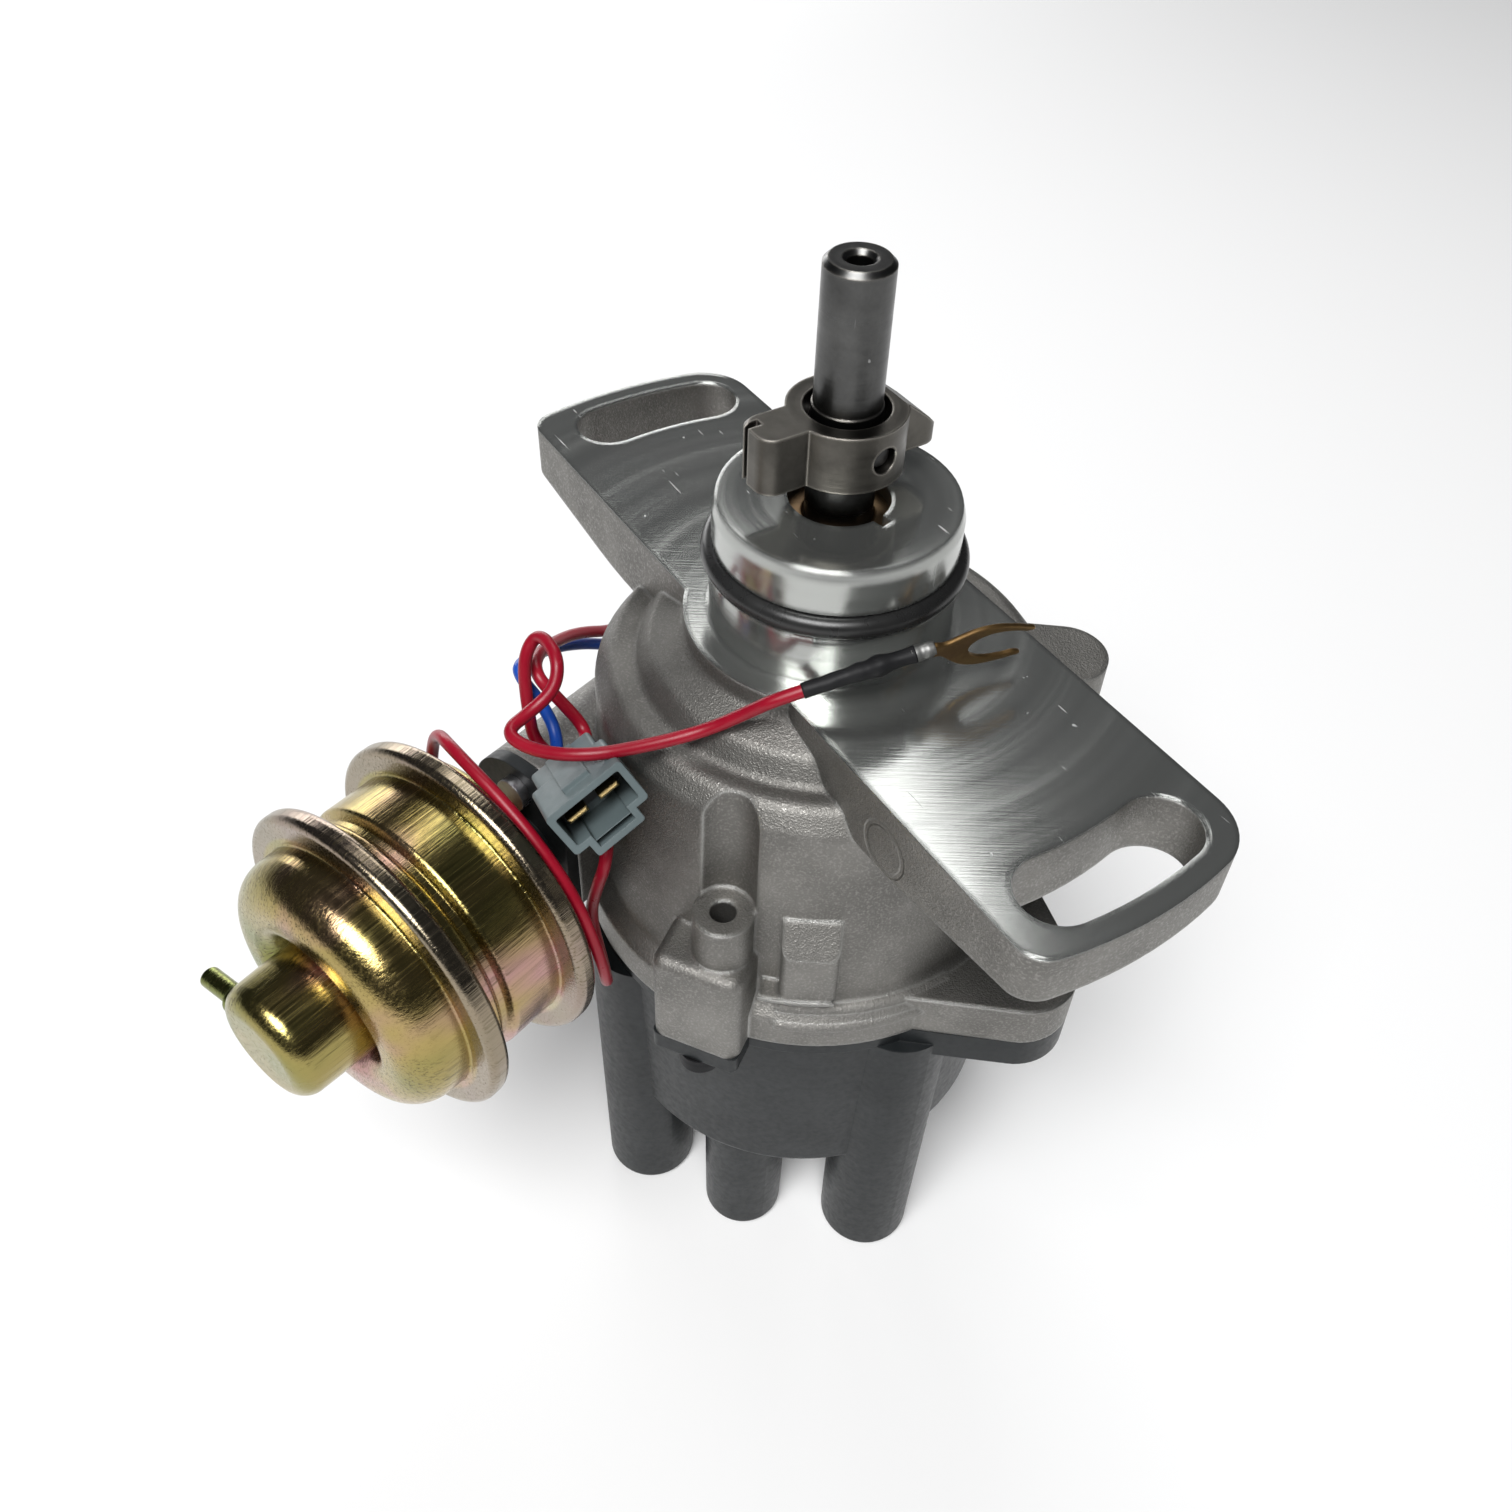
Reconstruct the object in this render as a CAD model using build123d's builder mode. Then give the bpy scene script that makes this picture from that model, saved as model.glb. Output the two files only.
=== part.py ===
from build123d import *
import os
from math import cos, hypot, pi, radians, sin, tan

os.makedirs("parts", exist_ok=True)

# Ignition distributor, in millimetres.
# Z is the shaft axis: z = 0 is the machined flange face, +Z points to the drive end and the cap hangs below.
# +X runs along the mounting flange, and -Y is the side that carries the vacuum advance can.

# ---------------------------------------------------------------- fits and gaps
running_fit = 0.03          # radial clearance of a turning fit
sliding_fit = 0.1           # radial clearance of a sliding fit
face_gap = 0.3              # gap between flat faces that move past each other
loose_gap = 0.7             # radial clearance of the open linkage pin

# ---------------------------------------------------------------- drive shaft and coupling
shaft_r = 5.0
shaft_nose_r = 4.8
nose_past_coupling = 0.5    # height of the step above the coupling
shaft_top_z = 55.7
shaft_chamfer = 0.7
centre_hole_r = 1.75
centre_hole_depth = 9.0
pilot_r = 3.5
pilot_end_z = -54.0
coupling_r = 8.5
coupling_bore_r = 6.1
coupling_foot_z = 26.2
coupling_h = 8.6
coupling_edge_r = 0.6
wing_reach = 14.8
wing_w = 7.4
wing_offset = -0.9          # the wings stand to one side, so the coupling only meets its slot one way
wing_tip_h = 4.6
wing_tip_round = 2.6
wing_slot_w = 1.3
pin_angle = 5.0
pin_r = 1.8
pin_recess = 1.2            # how far each end of the cross pin lies below the ring
rock_slack = 0.15           # radial clearance of the cross pin in the coupling

# ---------------------------------------------------------------- spigot and seals
spigot_r = 18.5
spigot_land_r = 18.25     # land above the ring, which finds the engine's bore first
spigot_h = 20.2
spigot_chamfer_r = 0.55
spigot_chamfer_h = 1.8
o_ring_z = 11.0
o_ring_section_r = 1.75
o_ring_proud = 1.3
o_ring_side_gap = 0.3
bush_bore_r = 7.5
bush_inset = 2.6            # the upper bush sits this far below the spigot face
upper_bush_l = 12.0
seal_l = 5.0
lower_bush_end_z = -17.0
oil_notch_w = 2.0
oil_notch_r = 9.2
oil_notch_angle = 12.0

# ---------------------------------------------------------------- mounting flange
flange_end_r = 70.3
flange_near_y = -17.1
flange_far_y = 22.2
flange_boss_r = 22.4
flange_tip_t = 8.3
flange_root_t = 14.0
flange_root_x = 28.0
flange_near_corner_r = 4.5
flange_far_corner_r = 9.0
slot_pitch_r = 60.9
slot_w = 11.6
slot_half_angle = 8.8
slot_a_angle = 2.4
slot_b_angle = 176.25

# ---------------------------------------------------------------- bowl of the housing
boss_side_h = 3.5
crest_r = 27.6
crest_z = -5.6
valley_r = 30.0
valley_z = -9.4
shoulder_r = 33.6
shoulder_z = -9.2
bowl_top_r = 36.4
bowl_top_z = -13.0
bowl_foot_r = 37.0
rim_r = 40.0
rim_t = 6.5
bowl_depth = 60.0
governor_wall = 4.4
plate_wall = 2.9
cover_wall = 1.7
chamber_top_z = -18.0
plate_seat_z = -37.0
cover_seat_z = -57.3
pillar_r = 3.2
pillar_in_wall = 1.0
pillar_angles = (45.0, 120.0, 285.0)

# ---------------------------------------------------------------- outside features of the bowl
screw_block_angle = -55.0
screw_block_proud = 5.0
screw_block_left = 10.1
screw_block_right = 4.9
screw_block_h = 20.0
threaded_boss_angle = -55.8
threaded_boss_pitch_r = 38.4
threaded_boss_r = 4.8
threaded_boss_top_z = -31.0
threaded_hole_r = 2.1
threaded_hole_depth = 11.0
driver_groove_r = 5.0        # groove above the threaded boss that clears a screwdriver
pad_angle = -35.0
pad_w = 9.0
pad_reach = 40.6
pad_top_z = -31.0
pad_foot_z = -46.5
pad_root = 5.0             # how far the pad reaches into the wall
pad_corner_r = 1.5
pad_slope_h = 6.5
ledge_start_angle = -46.0
ledge_sweep = 17.0
ledge_t = 0.8
bead_r = 1.1
bead_start_angle = -42.0
bead_sweep = 44.0
ear_angles = (17.0, 158.0)
ear_pitch_past_rim = 5.0
ear_r = 9.4
ear_t = 8.5
far_lug_angle = 52.0
far_lug_pitch_r = 37.0
far_lug_r = 6.5
far_lug_top_z = -5.5
far_lug_foot_z = -34.0

# ---------------------------------------------------------------- vacuum can
can_angle = -71.4           # direction in which the can points
can_offset = 29.8           # distance from the shaft axis to the can axis
can_z = -42.0
can_sheet = 0.9
can_boss_end = 38.0         # face of the housing boss, measured along the can axis
can_boss_start = 12.0
can_boss_w = 20.0
can_boss_h = 35.0
can_neck_r = 7.0
can_neck_bore_r = 5.2
bracket_t = 2.4
bracket_screw_pitch = 12.6
can_neck_end = 47.6
can_rim_r = 27.6
rear_rim_t = 53.2
drum_r = 23.1
drum_groove_r = 21.8
front_rim_t = 71.6
dome_r = 22.8
dome_front_t = 82.8
dome_recess_r = 11.3
dome_recess_t = 78.6
can_boss_cap_r = 9.9
can_boss_cap_t = 93.5
diaphragm_t = 1.0
cup_r = 14.0
cup_h = 4.0
cup_sheet = 1.0
rivet_r = 2.0
rivet_head_r = 3.2
nipple_r = 1.75
nipple_bore_r = 1.0
nipple_l = 10.0
nipple_collar_r = 2.6
nipple_collar_l = 4.2
front_nipple_t = 89.6
rear_nipple_t = 60.0
rod_w = 5.0
rod_t = 1.5
advance_pin_r = 1.5
vacuum_stroke = 5.2

# ---------------------------------------------------------------- governor
governor_disc_r = 24.0
governor_disc_t = 2.0
weight_t = 4.0
weight_outer_r = 21.5
weight_inner_r = 7.6
weight_pivot_pitch_r = 17.0
weight_pivot_r = 2.0
weight_eye_r = 3.6
drive_pin_pitch_r = 10.5
drive_pin_r = 1.5
drive_pin_gap = 0.2
advance_disc_r = 9.4
advance_arm_r = 20.5
advance_arm_w = 7.0
advance_disc_t = 1.6
weight_swing = 10.0
spring_wire_r = 0.45
governor_spring_r = 1.9
spring_post_r = 1.0
spring_pin_pitch_r = 18.0
spring_post_x = 17.5
spring_post_y = -12.5
spring_level_drop = 2.6

# ---------------------------------------------------------------- rotor shaft and signal parts
sleeve_r = 6.5
sleeve_end_r = 5.2
sleeve_end_z = -77.0
sleeve_step_z = -54.0
lip_t = 1.0
lip_bore_r = 2.3
screw_head_r = 3.2
screw_head_t = 2.0
screw_shank_r = 1.9
tooth_count = 4
signal_hub_r = 9.0
signal_tip_r = 12.4
signal_tooth_w = 4.4
signal_top_z = -44.2
signal_h = 8.0
air_gap = 0.4
base_plate_t = 1.5
collar_r = 12.0
collar_bore_r = 10.4
collar_l = 4.2
pickup_plate_r = 24.0
pickup_plate_t = 1.5
pickup_arm_w = 9.0
pickup_arm_reach = 31.8
clip_t = 0.7
clip_gap_past_core = 6.0
coil_angle = 20.0
coil_w = 17.0
coil_depth = 9.0
coil_h = 8.6
core_w = 5.0

# ---------------------------------------------------------------- rotor arm, cap and electrodes
dust_cover_t = 1.6
dust_cover_bore_r = 8.0
rotor_hub_r = 12.5
rotor_top_z = -63.0
rotor_face_z = -82.0
rotor_arm_reach = 24.5
rotor_arm_w = 14.0
rotor_contact_t = 1.2
rotor_contact_reach = 27.4
rotor_contact_w = 6.0
rotor_angle = -95.0
cap_step = 0.8              # how far the cap lip stands inside the housing rim
cap_lip_h = 3.6
cap_lip_t = 0.9
cap_end_r = 36.8
cap_end_z = -105.0
cap_wall = 2.9
cap_floor_t = 5.0
cap_edge_r = 2.0
cap_ear_t = 6.5
cap_corner_t = 3.6
tower_pitch_r = 33.0
tower_root_r = 9.4
tower_tip_r = 8.7
tower_tip_z = -137.0
tower_first_angle = -95.0
tower_edge_r = 1.6
socket_r = 5.5
socket_depth = 21.0
coil_tower_pitch_r = 28.0
coil_tower_angle = -53.0
coil_tower_r = 8.0
electrode_r = 2.5
electrode_top_z = -76.0
electrode_post_r = 4.2
spark_gap = 1.0
bridge_w = 5.0
bridge_t = 1.2
brush_r = 2.0
brush_l = 8.0
brush_post_r = 4.6
brush_post_h = 13.5
brush_travel = 1.5
cap_screw_r = 1.9
cap_screw_head_r = 3.6
cap_screw_head_t = 3.2
cap_screw_l = 20.0
seal_ring_r = 37.4
seal_ring_section = 1.6

# ---------------------------------------------------------------- leads and connector
wire_r = 1.0
sleeve_tube_r = 1.6
grommet_angle = 170.0
grommet_z = -42.0
grommet_w = 12.5
grommet_h = 7.1
grommet_lip = 2.6
wire_spacing = 4.2
sleeve_tube_l = 16.4
plug_w = 13.4
plug_h = 7.6
plug_stem_w = 8.6
plug_stem_h = 2.4
plug_wall = 1.1
plug_mouth_depth = 8.5
plug_front_l = 9.5
plug_l = 15.5
plug_rear_w = 11.0
plug_rear_h = 6.8
plug_wire_pitch = 5.6
blade_w = 3.4
blade_t = 0.8
fork_l = 17.0
fork_w = 7.0
fork_t = 0.9
fork_slot_w = 3.6
barrel_r = 1.35


def bend_radii(points):
    """Radius for each bend of a cord: just under half of the shorter run beside it."""
    radii = []
    for before, bend, after in zip(points, points[1:], points[2:]):
        run_in = Vector(*bend) - Vector(*before)
        run_out = Vector(*after) - Vector(*bend)
        half_turn = radians(run_in.get_angle(run_out)) / 2
        radii.append(0.45 * min(run_in.length, run_out.length) / tan(half_turn))
    return radii


def polar(radius, angle, z=0.0):
    return Vector(radius * cos(radians(angle)), radius * sin(radians(angle)), z)


# ---------------------------------------------------------------- derived places
shaft_plane = Plane.XZ
can_way = Vector(cos(radians(can_angle)), sin(radians(can_angle)), 0)
can_side = Vector(-can_way.Y, can_way.X, 0)
can_foot = can_side * -can_offset + Vector(0, 0, can_z)
can_axis = Axis((can_foot.X, can_foot.Y, can_foot.Z), (can_way.X, can_way.Y, 0))
can_profile = Plane(origin=can_foot, x_dir=can_side, z_dir=(0, 0, -1))
advance_angle = can_angle - 90.0


def can_plane(station):
    """Plane across the can axis: local X is sideways, local Y is up."""
    return Plane(origin=can_foot + can_way * station, x_dir=can_side, z_dir=can_way)


rim_z = -bowl_depth
rim_top_z = rim_z + rim_t
chamber_r = bowl_top_r - governor_wall
screw_block_reach = rim_r + screw_block_proud
ear_pitch_r = rim_r + ear_pitch_past_rim
pillar_pitch_r = chamber_r - pillar_in_wall
plate_bore_r = bowl_top_r - plate_wall
cover_bore_r = bowl_foot_r - cover_wall
bush_top_z = spigot_h - bush_inset
seal_top_z = bush_top_z - upper_bush_l
lower_bush_top_z = seal_top_z - seal_l
screw_block_top_z = rim_z + screw_block_h
screw_block_mid = (screw_block_right - screw_block_left) / 2
screw_block_w = screw_block_left + screw_block_right
cap_lip_r = rim_r - cap_step
cap_skirt_r = cap_lip_r - cap_lip_t
cap_floor_z = cap_end_z + cap_floor_t
governor_top_z = chamber_top_z - 1.6
governor_disc_z = governor_top_z - governor_disc_t
weight_top_z = governor_disc_z - face_gap
weight_foot_z = weight_top_z - weight_t
advance_top_z = weight_foot_z - face_gap
advance_foot_z = advance_top_z - advance_disc_t
base_plate_z = plate_seat_z - base_plate_t
pickup_top_z = base_plate_z - face_gap
pickup_z = pickup_top_z - pickup_plate_t
clip_z = pickup_z - face_gap - clip_t
shaft_shoulder_z = advance_top_z
sleeve_top_z = shaft_shoulder_z - face_gap
electrode_pitch_r = rotor_contact_reach + spark_gap + electrode_r
rotor_contact_z = rotor_face_z - rotor_contact_t
brush_tip_z = rotor_contact_z - 0.2
pin_z = coupling_foot_z + coupling_h / 2
shaft_nose_z = coupling_foot_z + coupling_h + nose_past_coupling
cap_screw_places = [polar(screw_block_reach - 3.0, screw_block_angle - 3.6)]
cap_screw_places += [polar(ear_pitch_r, ear_angle) for ear_angle in ear_angles]
plug_mouth = Vector(9.75, -45.65, -11.2)
plug_out = Vector(0.905, -0.173, 0.390)
plug_x = Vector(0.009, -0.906, -0.424)
fork_wire_end = Vector(22.9, -2.05, 8.5)
fork_way = Vector(3.1, 18.15, -3.1).normalized()
fork_up = Vector(0.247, 0.12, 0.945)
tower_angles = [tower_first_angle + 90 * step for step in range(4)]

# ================================================================ housing
# The casting: flange with a thinning underside, spigot, two rounded shoulders and the bowl,
# then the bosses and ears, and last the bores and the chambers for the governor and the plates.
with BuildPart() as housing:
    with BuildSketch(Plane.XY):
        Circle(flange_end_r)
        with Locations((0, (flange_near_y + flange_far_y) / 2)):
            Rectangle(3 * flange_end_r, flange_far_y - flange_near_y, mode=Mode.INTERSECT)
        near_corners = vertices().sort_by(Axis.Y)[:2]
        fillet(near_corners, flange_near_corner_r)
        far_corners = vertices().sort_by(Axis.Y)[-2:]
        fillet(far_corners, flange_far_corner_r)
        Circle(flange_boss_r)
    extrude(amount=-flange_root_t)
    with BuildSketch(Plane.XZ):
        with BuildLine():
            Polyline(
                (-flange_end_r, 0), (flange_end_r, 0), (flange_end_r, -flange_tip_t),
                (flange_root_x, -flange_root_t), (-flange_root_x, -flange_root_t),
                (-flange_end_r, -flange_tip_t), close=True,
            )
        make_face()
    extrude(amount=flange_end_r, both=True, mode=Mode.INTERSECT)
    fillet(edges().group_by(Axis.Z)[0].filter_by(Axis.X), 2.0)
    # slots that let the body turn on its bolts
    for slot_angle in (slot_a_angle, slot_b_angle):
        with BuildSketch(Plane.XY):
            SlotArc(
                CenterArc((0, 0), slot_pitch_r, slot_angle - slot_half_angle, 2 * slot_half_angle, mode=Mode.PRIVATE),
                slot_w,
            )
        extrude(amount=-flange_root_t, mode=Mode.SUBTRACT)
    # turned body: spigot, flange boss, shoulders, bowl and rim
    with BuildSketch(shaft_plane):
        with BuildLine():
            FilletPolyline(
                (0, spigot_h),
                (spigot_land_r - spigot_chamfer_r, spigot_h),
                (spigot_land_r, spigot_h - spigot_chamfer_h),
                (spigot_land_r, o_ring_z),
                (spigot_r, o_ring_z),
                (spigot_r, 0),
                (flange_boss_r, 0),
                (flange_boss_r, -boss_side_h),
                (crest_r, crest_z),
                (valley_r, valley_z),
                (shoulder_r, shoulder_z),
                (bowl_top_r, bowl_top_z),
                (bowl_foot_r, rim_top_z + (rim_r - bowl_foot_r)),
                (rim_r, rim_top_z),
                (rim_r, rim_z),
                (0, rim_z),
                radius=[0, 0, 0, 0, 0, 0, 0, 1.2, 2.2, 1.4, 2.4, 2.0, 2.0, 0.8, 0, 0],
                close=True,
            )
        make_face()
    revolve(axis=Axis.Z)
    # screw block with the threaded boss and its rib
    block_plane = Plane(origin=(0, 0, screw_block_top_z), x_dir=polar(1, screw_block_angle), z_dir=(0, 0, 1))
    with BuildSketch(block_plane):
        with Locations(((screw_block_reach + rim_r - 8) / 2, screw_block_mid)):
            RectangleRounded(screw_block_reach - rim_r + 8, screw_block_w, 2.2)
    extrude(amount=-screw_block_h)
    block_top = faces().filter_by(Axis.Z).filter_by_position(Axis.Z, screw_block_top_z - 0.1, screw_block_top_z + 0.1)
    fillet(block_top.edges().sort_by_distance(polar(screw_block_reach, screw_block_angle, screw_block_top_z))[:3], 1.8)
    with BuildSketch(Plane.XY.offset(threaded_boss_top_z)):
        with Locations(polar(threaded_boss_pitch_r, threaded_boss_angle)):
            Circle(threaded_boss_r)
    extrude(amount=-(threaded_boss_top_z - rim_top_z))
    with BuildSketch(Plane.XY.offset(threaded_boss_top_z)):
        with Locations(polar(threaded_boss_pitch_r, threaded_boss_angle)):
            Circle(driver_groove_r)
    extrude(amount=shoulder_z - threaded_boss_top_z, mode=Mode.SUBTRACT)
    # bevelled pad beside the block
    pad_plane = Plane(origin=(0, 0, pad_foot_z), x_dir=polar(1, pad_angle), z_dir=(0, 0, 1))
    with BuildSketch(pad_plane):
        with Locations(((bowl_top_r - pad_root + pad_reach) / 2, 0)):
            RectangleRounded(pad_reach - bowl_top_r + pad_root, pad_w, pad_corner_r)
    extrude(amount=pad_top_z - pad_foot_z)
    with BuildSketch(Plane(origin=(0, 0, 0), x_dir=polar(1, pad_angle), z_dir=polar(1, pad_angle - 90))):
        with BuildLine():
            Polyline(
                (bowl_foot_r, pad_top_z), (pad_reach + 1, pad_top_z - pad_slope_h), (pad_reach + 1, pad_top_z + 1),
                (bowl_foot_r, pad_top_z + 1), close=True,
            )
        make_face()
    extrude(amount=pad_w, both=True, mode=Mode.SUBTRACT)
    # narrow ledge under the pad
    with BuildSketch(Plane(origin=(0, 0, 0), x_dir=polar(1, ledge_start_angle), z_dir=polar(1, ledge_start_angle - 90))):
        with Locations(((bowl_top_r + pad_reach) / 2, pad_foot_z - ledge_t / 2)):
            Rectangle(pad_reach - bowl_top_r + ledge_t, ledge_t)
    revolve(axis=Axis.Z, revolution_arc=ledge_sweep)
    # raised bead along the rim
    with BuildSketch(Plane(origin=(0, 0, 0), x_dir=polar(1, bead_start_angle), z_dir=polar(1, bead_start_angle - 90))):
        with Locations((rim_r - 0.4, rim_top_z - 1.2), (rim_r - 2.0, rim_top_z + 1.3)):
            Circle(bead_r)
    revolve(axis=Axis.Z, revolution_arc=bead_sweep)
    # ears that the cap screws pull on
    for ear_angle in ear_angles:
        with BuildSketch(Plane.XY.offset(rim_z)) as ear_outline:
            with Locations(polar(ear_pitch_r, ear_angle)):
                Circle(ear_r)
            Circle(rim_r - 6)
            make_hull()
            Circle(rim_r - 6, mode=Mode.SUBTRACT)
        extrude(amount=ear_t)
    # cast lug on the far side
    with BuildSketch(Plane.XY.offset(far_lug_top_z)):
        with Locations(polar(far_lug_pitch_r, far_lug_angle)):
            Circle(far_lug_r)
        with Locations(polar(far_lug_pitch_r / 2, far_lug_angle)):
            Rectangle(far_lug_pitch_r, 2 * far_lug_r, rotation=far_lug_angle)
    extrude(amount=far_lug_foot_z - far_lug_top_z)
    # boss for the vacuum can, square to the can axis
    with BuildSketch(can_plane(can_boss_end)):
        RectangleRounded(can_boss_w, can_boss_h, can_boss_w / 2 - 1)
    extrude(amount=-(can_boss_end - can_boss_start))
    # bores and chambers
    with BuildSketch(shaft_plane):
        with BuildLine():
            Polyline(
                (0, spigot_h), (bush_bore_r, spigot_h), (bush_bore_r, chamber_top_z), (chamber_r, chamber_top_z),
                (chamber_r, plate_seat_z), (plate_bore_r, plate_seat_z), (plate_bore_r, cover_seat_z),
                (cover_bore_r, cover_seat_z), (cover_bore_r, rim_z), (0, rim_z), close=True,
            )
        make_face()
    revolve(axis=Axis.Z, mode=Mode.SUBTRACT)
    with BuildSketch(shaft_plane):
        with Locations((spigot_r, o_ring_z)):
            Rectangle(
                2 * (2 * o_ring_section_r - o_ring_proud), 2 * (o_ring_section_r + o_ring_side_gap)
            )
    revolve(axis=Axis.Z, mode=Mode.SUBTRACT)
    with BuildSketch(Plane.XY.offset(spigot_h)):
        with Locations(polar((oil_notch_r + bush_bore_r) / 2 - 0.5, oil_notch_angle)):
            Rectangle(oil_notch_r - bush_bore_r + 1, oil_notch_w, rotation=oil_notch_angle)
    extrude(amount=-bush_inset, mode=Mode.SUBTRACT)
    # pillars under the base plate, drilled for its screws
    for pillar_angle in pillar_angles:
        with BuildSketch(Plane.XY.offset(plate_seat_z)):
            with Locations(polar(pillar_pitch_r, pillar_angle)):
                Circle(pillar_r)
        extrude(amount=chamber_top_z - plate_seat_z)
        with BuildSketch(Plane.XY.offset(plate_seat_z)):
            with Locations(polar(pillar_pitch_r - 0.6, pillar_angle)):
                Circle(1.4)
        extrude(amount=8.0, mode=Mode.SUBTRACT)
    # neck bore and rod slot through the can boss
    with BuildSketch(can_plane(can_boss_end)):
        Circle(can_neck_r)
    extrude(amount=-9.0, mode=Mode.SUBTRACT)
    with BuildSketch(can_plane(can_boss_end)):
        Rectangle(rod_w + 3.0, rod_t + 4.0)
    extrude(amount=-can_boss_end - 6, mode=Mode.SUBTRACT)
    with BuildSketch(can_plane(can_boss_end)):
        with GridLocations(0, 2 * bracket_screw_pitch, 1, 2):
            Circle(1.6)
    extrude(amount=-10.0, mode=Mode.SUBTRACT)
    # tapped holes
    with BuildSketch(Plane.XY.offset(threaded_boss_top_z)):
        with Locations(polar(threaded_boss_pitch_r, threaded_boss_angle)):
            Circle(threaded_hole_r)
    extrude(amount=-threaded_hole_depth, mode=Mode.SUBTRACT)
    with BuildSketch(Plane.XY.offset(rim_z)):
        with Locations(cap_screw_places):
            Circle(cap_screw_r)
    extrude(amount=ear_t - 1.5, mode=Mode.SUBTRACT)
    # hole for the grommet
    grommet_plane = Plane(
        origin=polar(bowl_foot_r, grommet_angle, grommet_z), x_dir=polar(1, grommet_angle + 90),
        z_dir=polar(1, grommet_angle),
    )
    with BuildSketch(grommet_plane):
        SlotOverall(grommet_w, grommet_h)
    extrude(amount=6.0, both=True, mode=Mode.SUBTRACT)
housing.part.label = "distributor_housing"
export_step(housing.part, "parts/distributor_housing.step")



# ================================================================ shaft, seals and coupling
with BuildPart() as spigot_o_ring:
    with BuildSketch(shaft_plane):
        with Locations((spigot_r + o_ring_proud - o_ring_section_r, o_ring_z)):
            Circle(o_ring_section_r)
    revolve(axis=Axis.Z)
spigot_o_ring.part.label = "spigot_o_ring"
export_step(spigot_o_ring.part, "parts/spigot_o_ring.step")

with BuildPart() as upper_bush:
    with BuildSketch(Plane.XY.offset(bush_top_z)):
        Circle(bush_bore_r)
        Circle(shaft_r + running_fit, mode=Mode.SUBTRACT)
    extrude(amount=-upper_bush_l)
    chamfer(edges().group_by(Axis.Z)[-1].sort_by(SortBy.LENGTH)[0], 0.4)
upper_bush.part.label = "upper_bush"
export_step(upper_bush.part, "parts/upper_bush.step")

with BuildPart() as shaft_oil_seal:
    with BuildSketch(shaft_plane):
        with BuildLine():
            Polyline(
                (shaft_r + sliding_fit, seal_top_z - 1.6), (shaft_r + 0.9, seal_top_z), (bush_bore_r, seal_top_z),
                (bush_bore_r, seal_top_z - seal_l), (shaft_r + 1.4, seal_top_z - seal_l),
                (shaft_r + 1.2, seal_top_z - 2.6), close=True,
            )
        make_face()
    revolve(axis=Axis.Z)
shaft_oil_seal.part.label = "shaft_oil_seal"
export_step(shaft_oil_seal.part, "parts/shaft_oil_seal.step")

with BuildPart() as lower_bush:
    with BuildSketch(Plane.XY.offset(lower_bush_top_z)):
        Circle(bush_bore_r)
        Circle(shaft_r + running_fit, mode=Mode.SUBTRACT)
    extrude(amount=lower_bush_end_z - lower_bush_top_z)
lower_bush.part.label = "lower_bush"
export_step(lower_bush.part, "parts/lower_bush.step")

hub_top_z = lower_bush_end_z - 1.0
with BuildPart() as thrust_washer:
    with BuildSketch(Plane.XY.offset(hub_top_z)):
        Circle(bush_bore_r - 0.4)
        Circle(shaft_r + sliding_fit, mode=Mode.SUBTRACT)
    extrude(amount=lower_bush_end_z - hub_top_z - 0.1)
thrust_washer.part.label = "shaft_thrust_washer"
export_step(thrust_washer.part, "parts/shaft_thrust_washer.step")

pin_plane = Plane(origin=(0, 0, pin_z), x_dir=(0, 0, 1), z_dir=polar(1, pin_angle))
with BuildPart() as drive_shaft:
    with BuildSketch(shaft_plane):
        with BuildLine():
            Polyline(
                (0, shaft_top_z), (shaft_nose_r - shaft_chamfer, shaft_top_z),
                (shaft_nose_r, shaft_top_z - shaft_chamfer), (shaft_nose_r, shaft_nose_z), (shaft_r, shaft_nose_z),
                (shaft_r, shaft_shoulder_z), (pilot_r, shaft_shoulder_z), (pilot_r, pilot_end_z),
                (0, pilot_end_z), close=True,
            )
        make_face()
    revolve(axis=Axis.Z)
    with BuildSketch(Plane.XY.offset(shaft_top_z)):
        Circle(centre_hole_r)
    extrude(amount=-centre_hole_depth, mode=Mode.SUBTRACT)
    chamfer(edges().filter_by(GeomType.CIRCLE).group_by(Axis.Z)[-1].sort_by(SortBy.LENGTH)[0], 0.6)
    with BuildSketch(pin_plane):
        Circle(pin_r)
    extrude(amount=shaft_r, both=True, mode=Mode.SUBTRACT)
    with BuildSketch(Plane.XY.offset(pilot_end_z)):
        Circle(screw_shank_r)
    extrude(amount=12.0, mode=Mode.SUBTRACT)
drive_shaft.part.label = "drive_shaft"
export_step(drive_shaft.part, "parts/drive_shaft.step")

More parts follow.
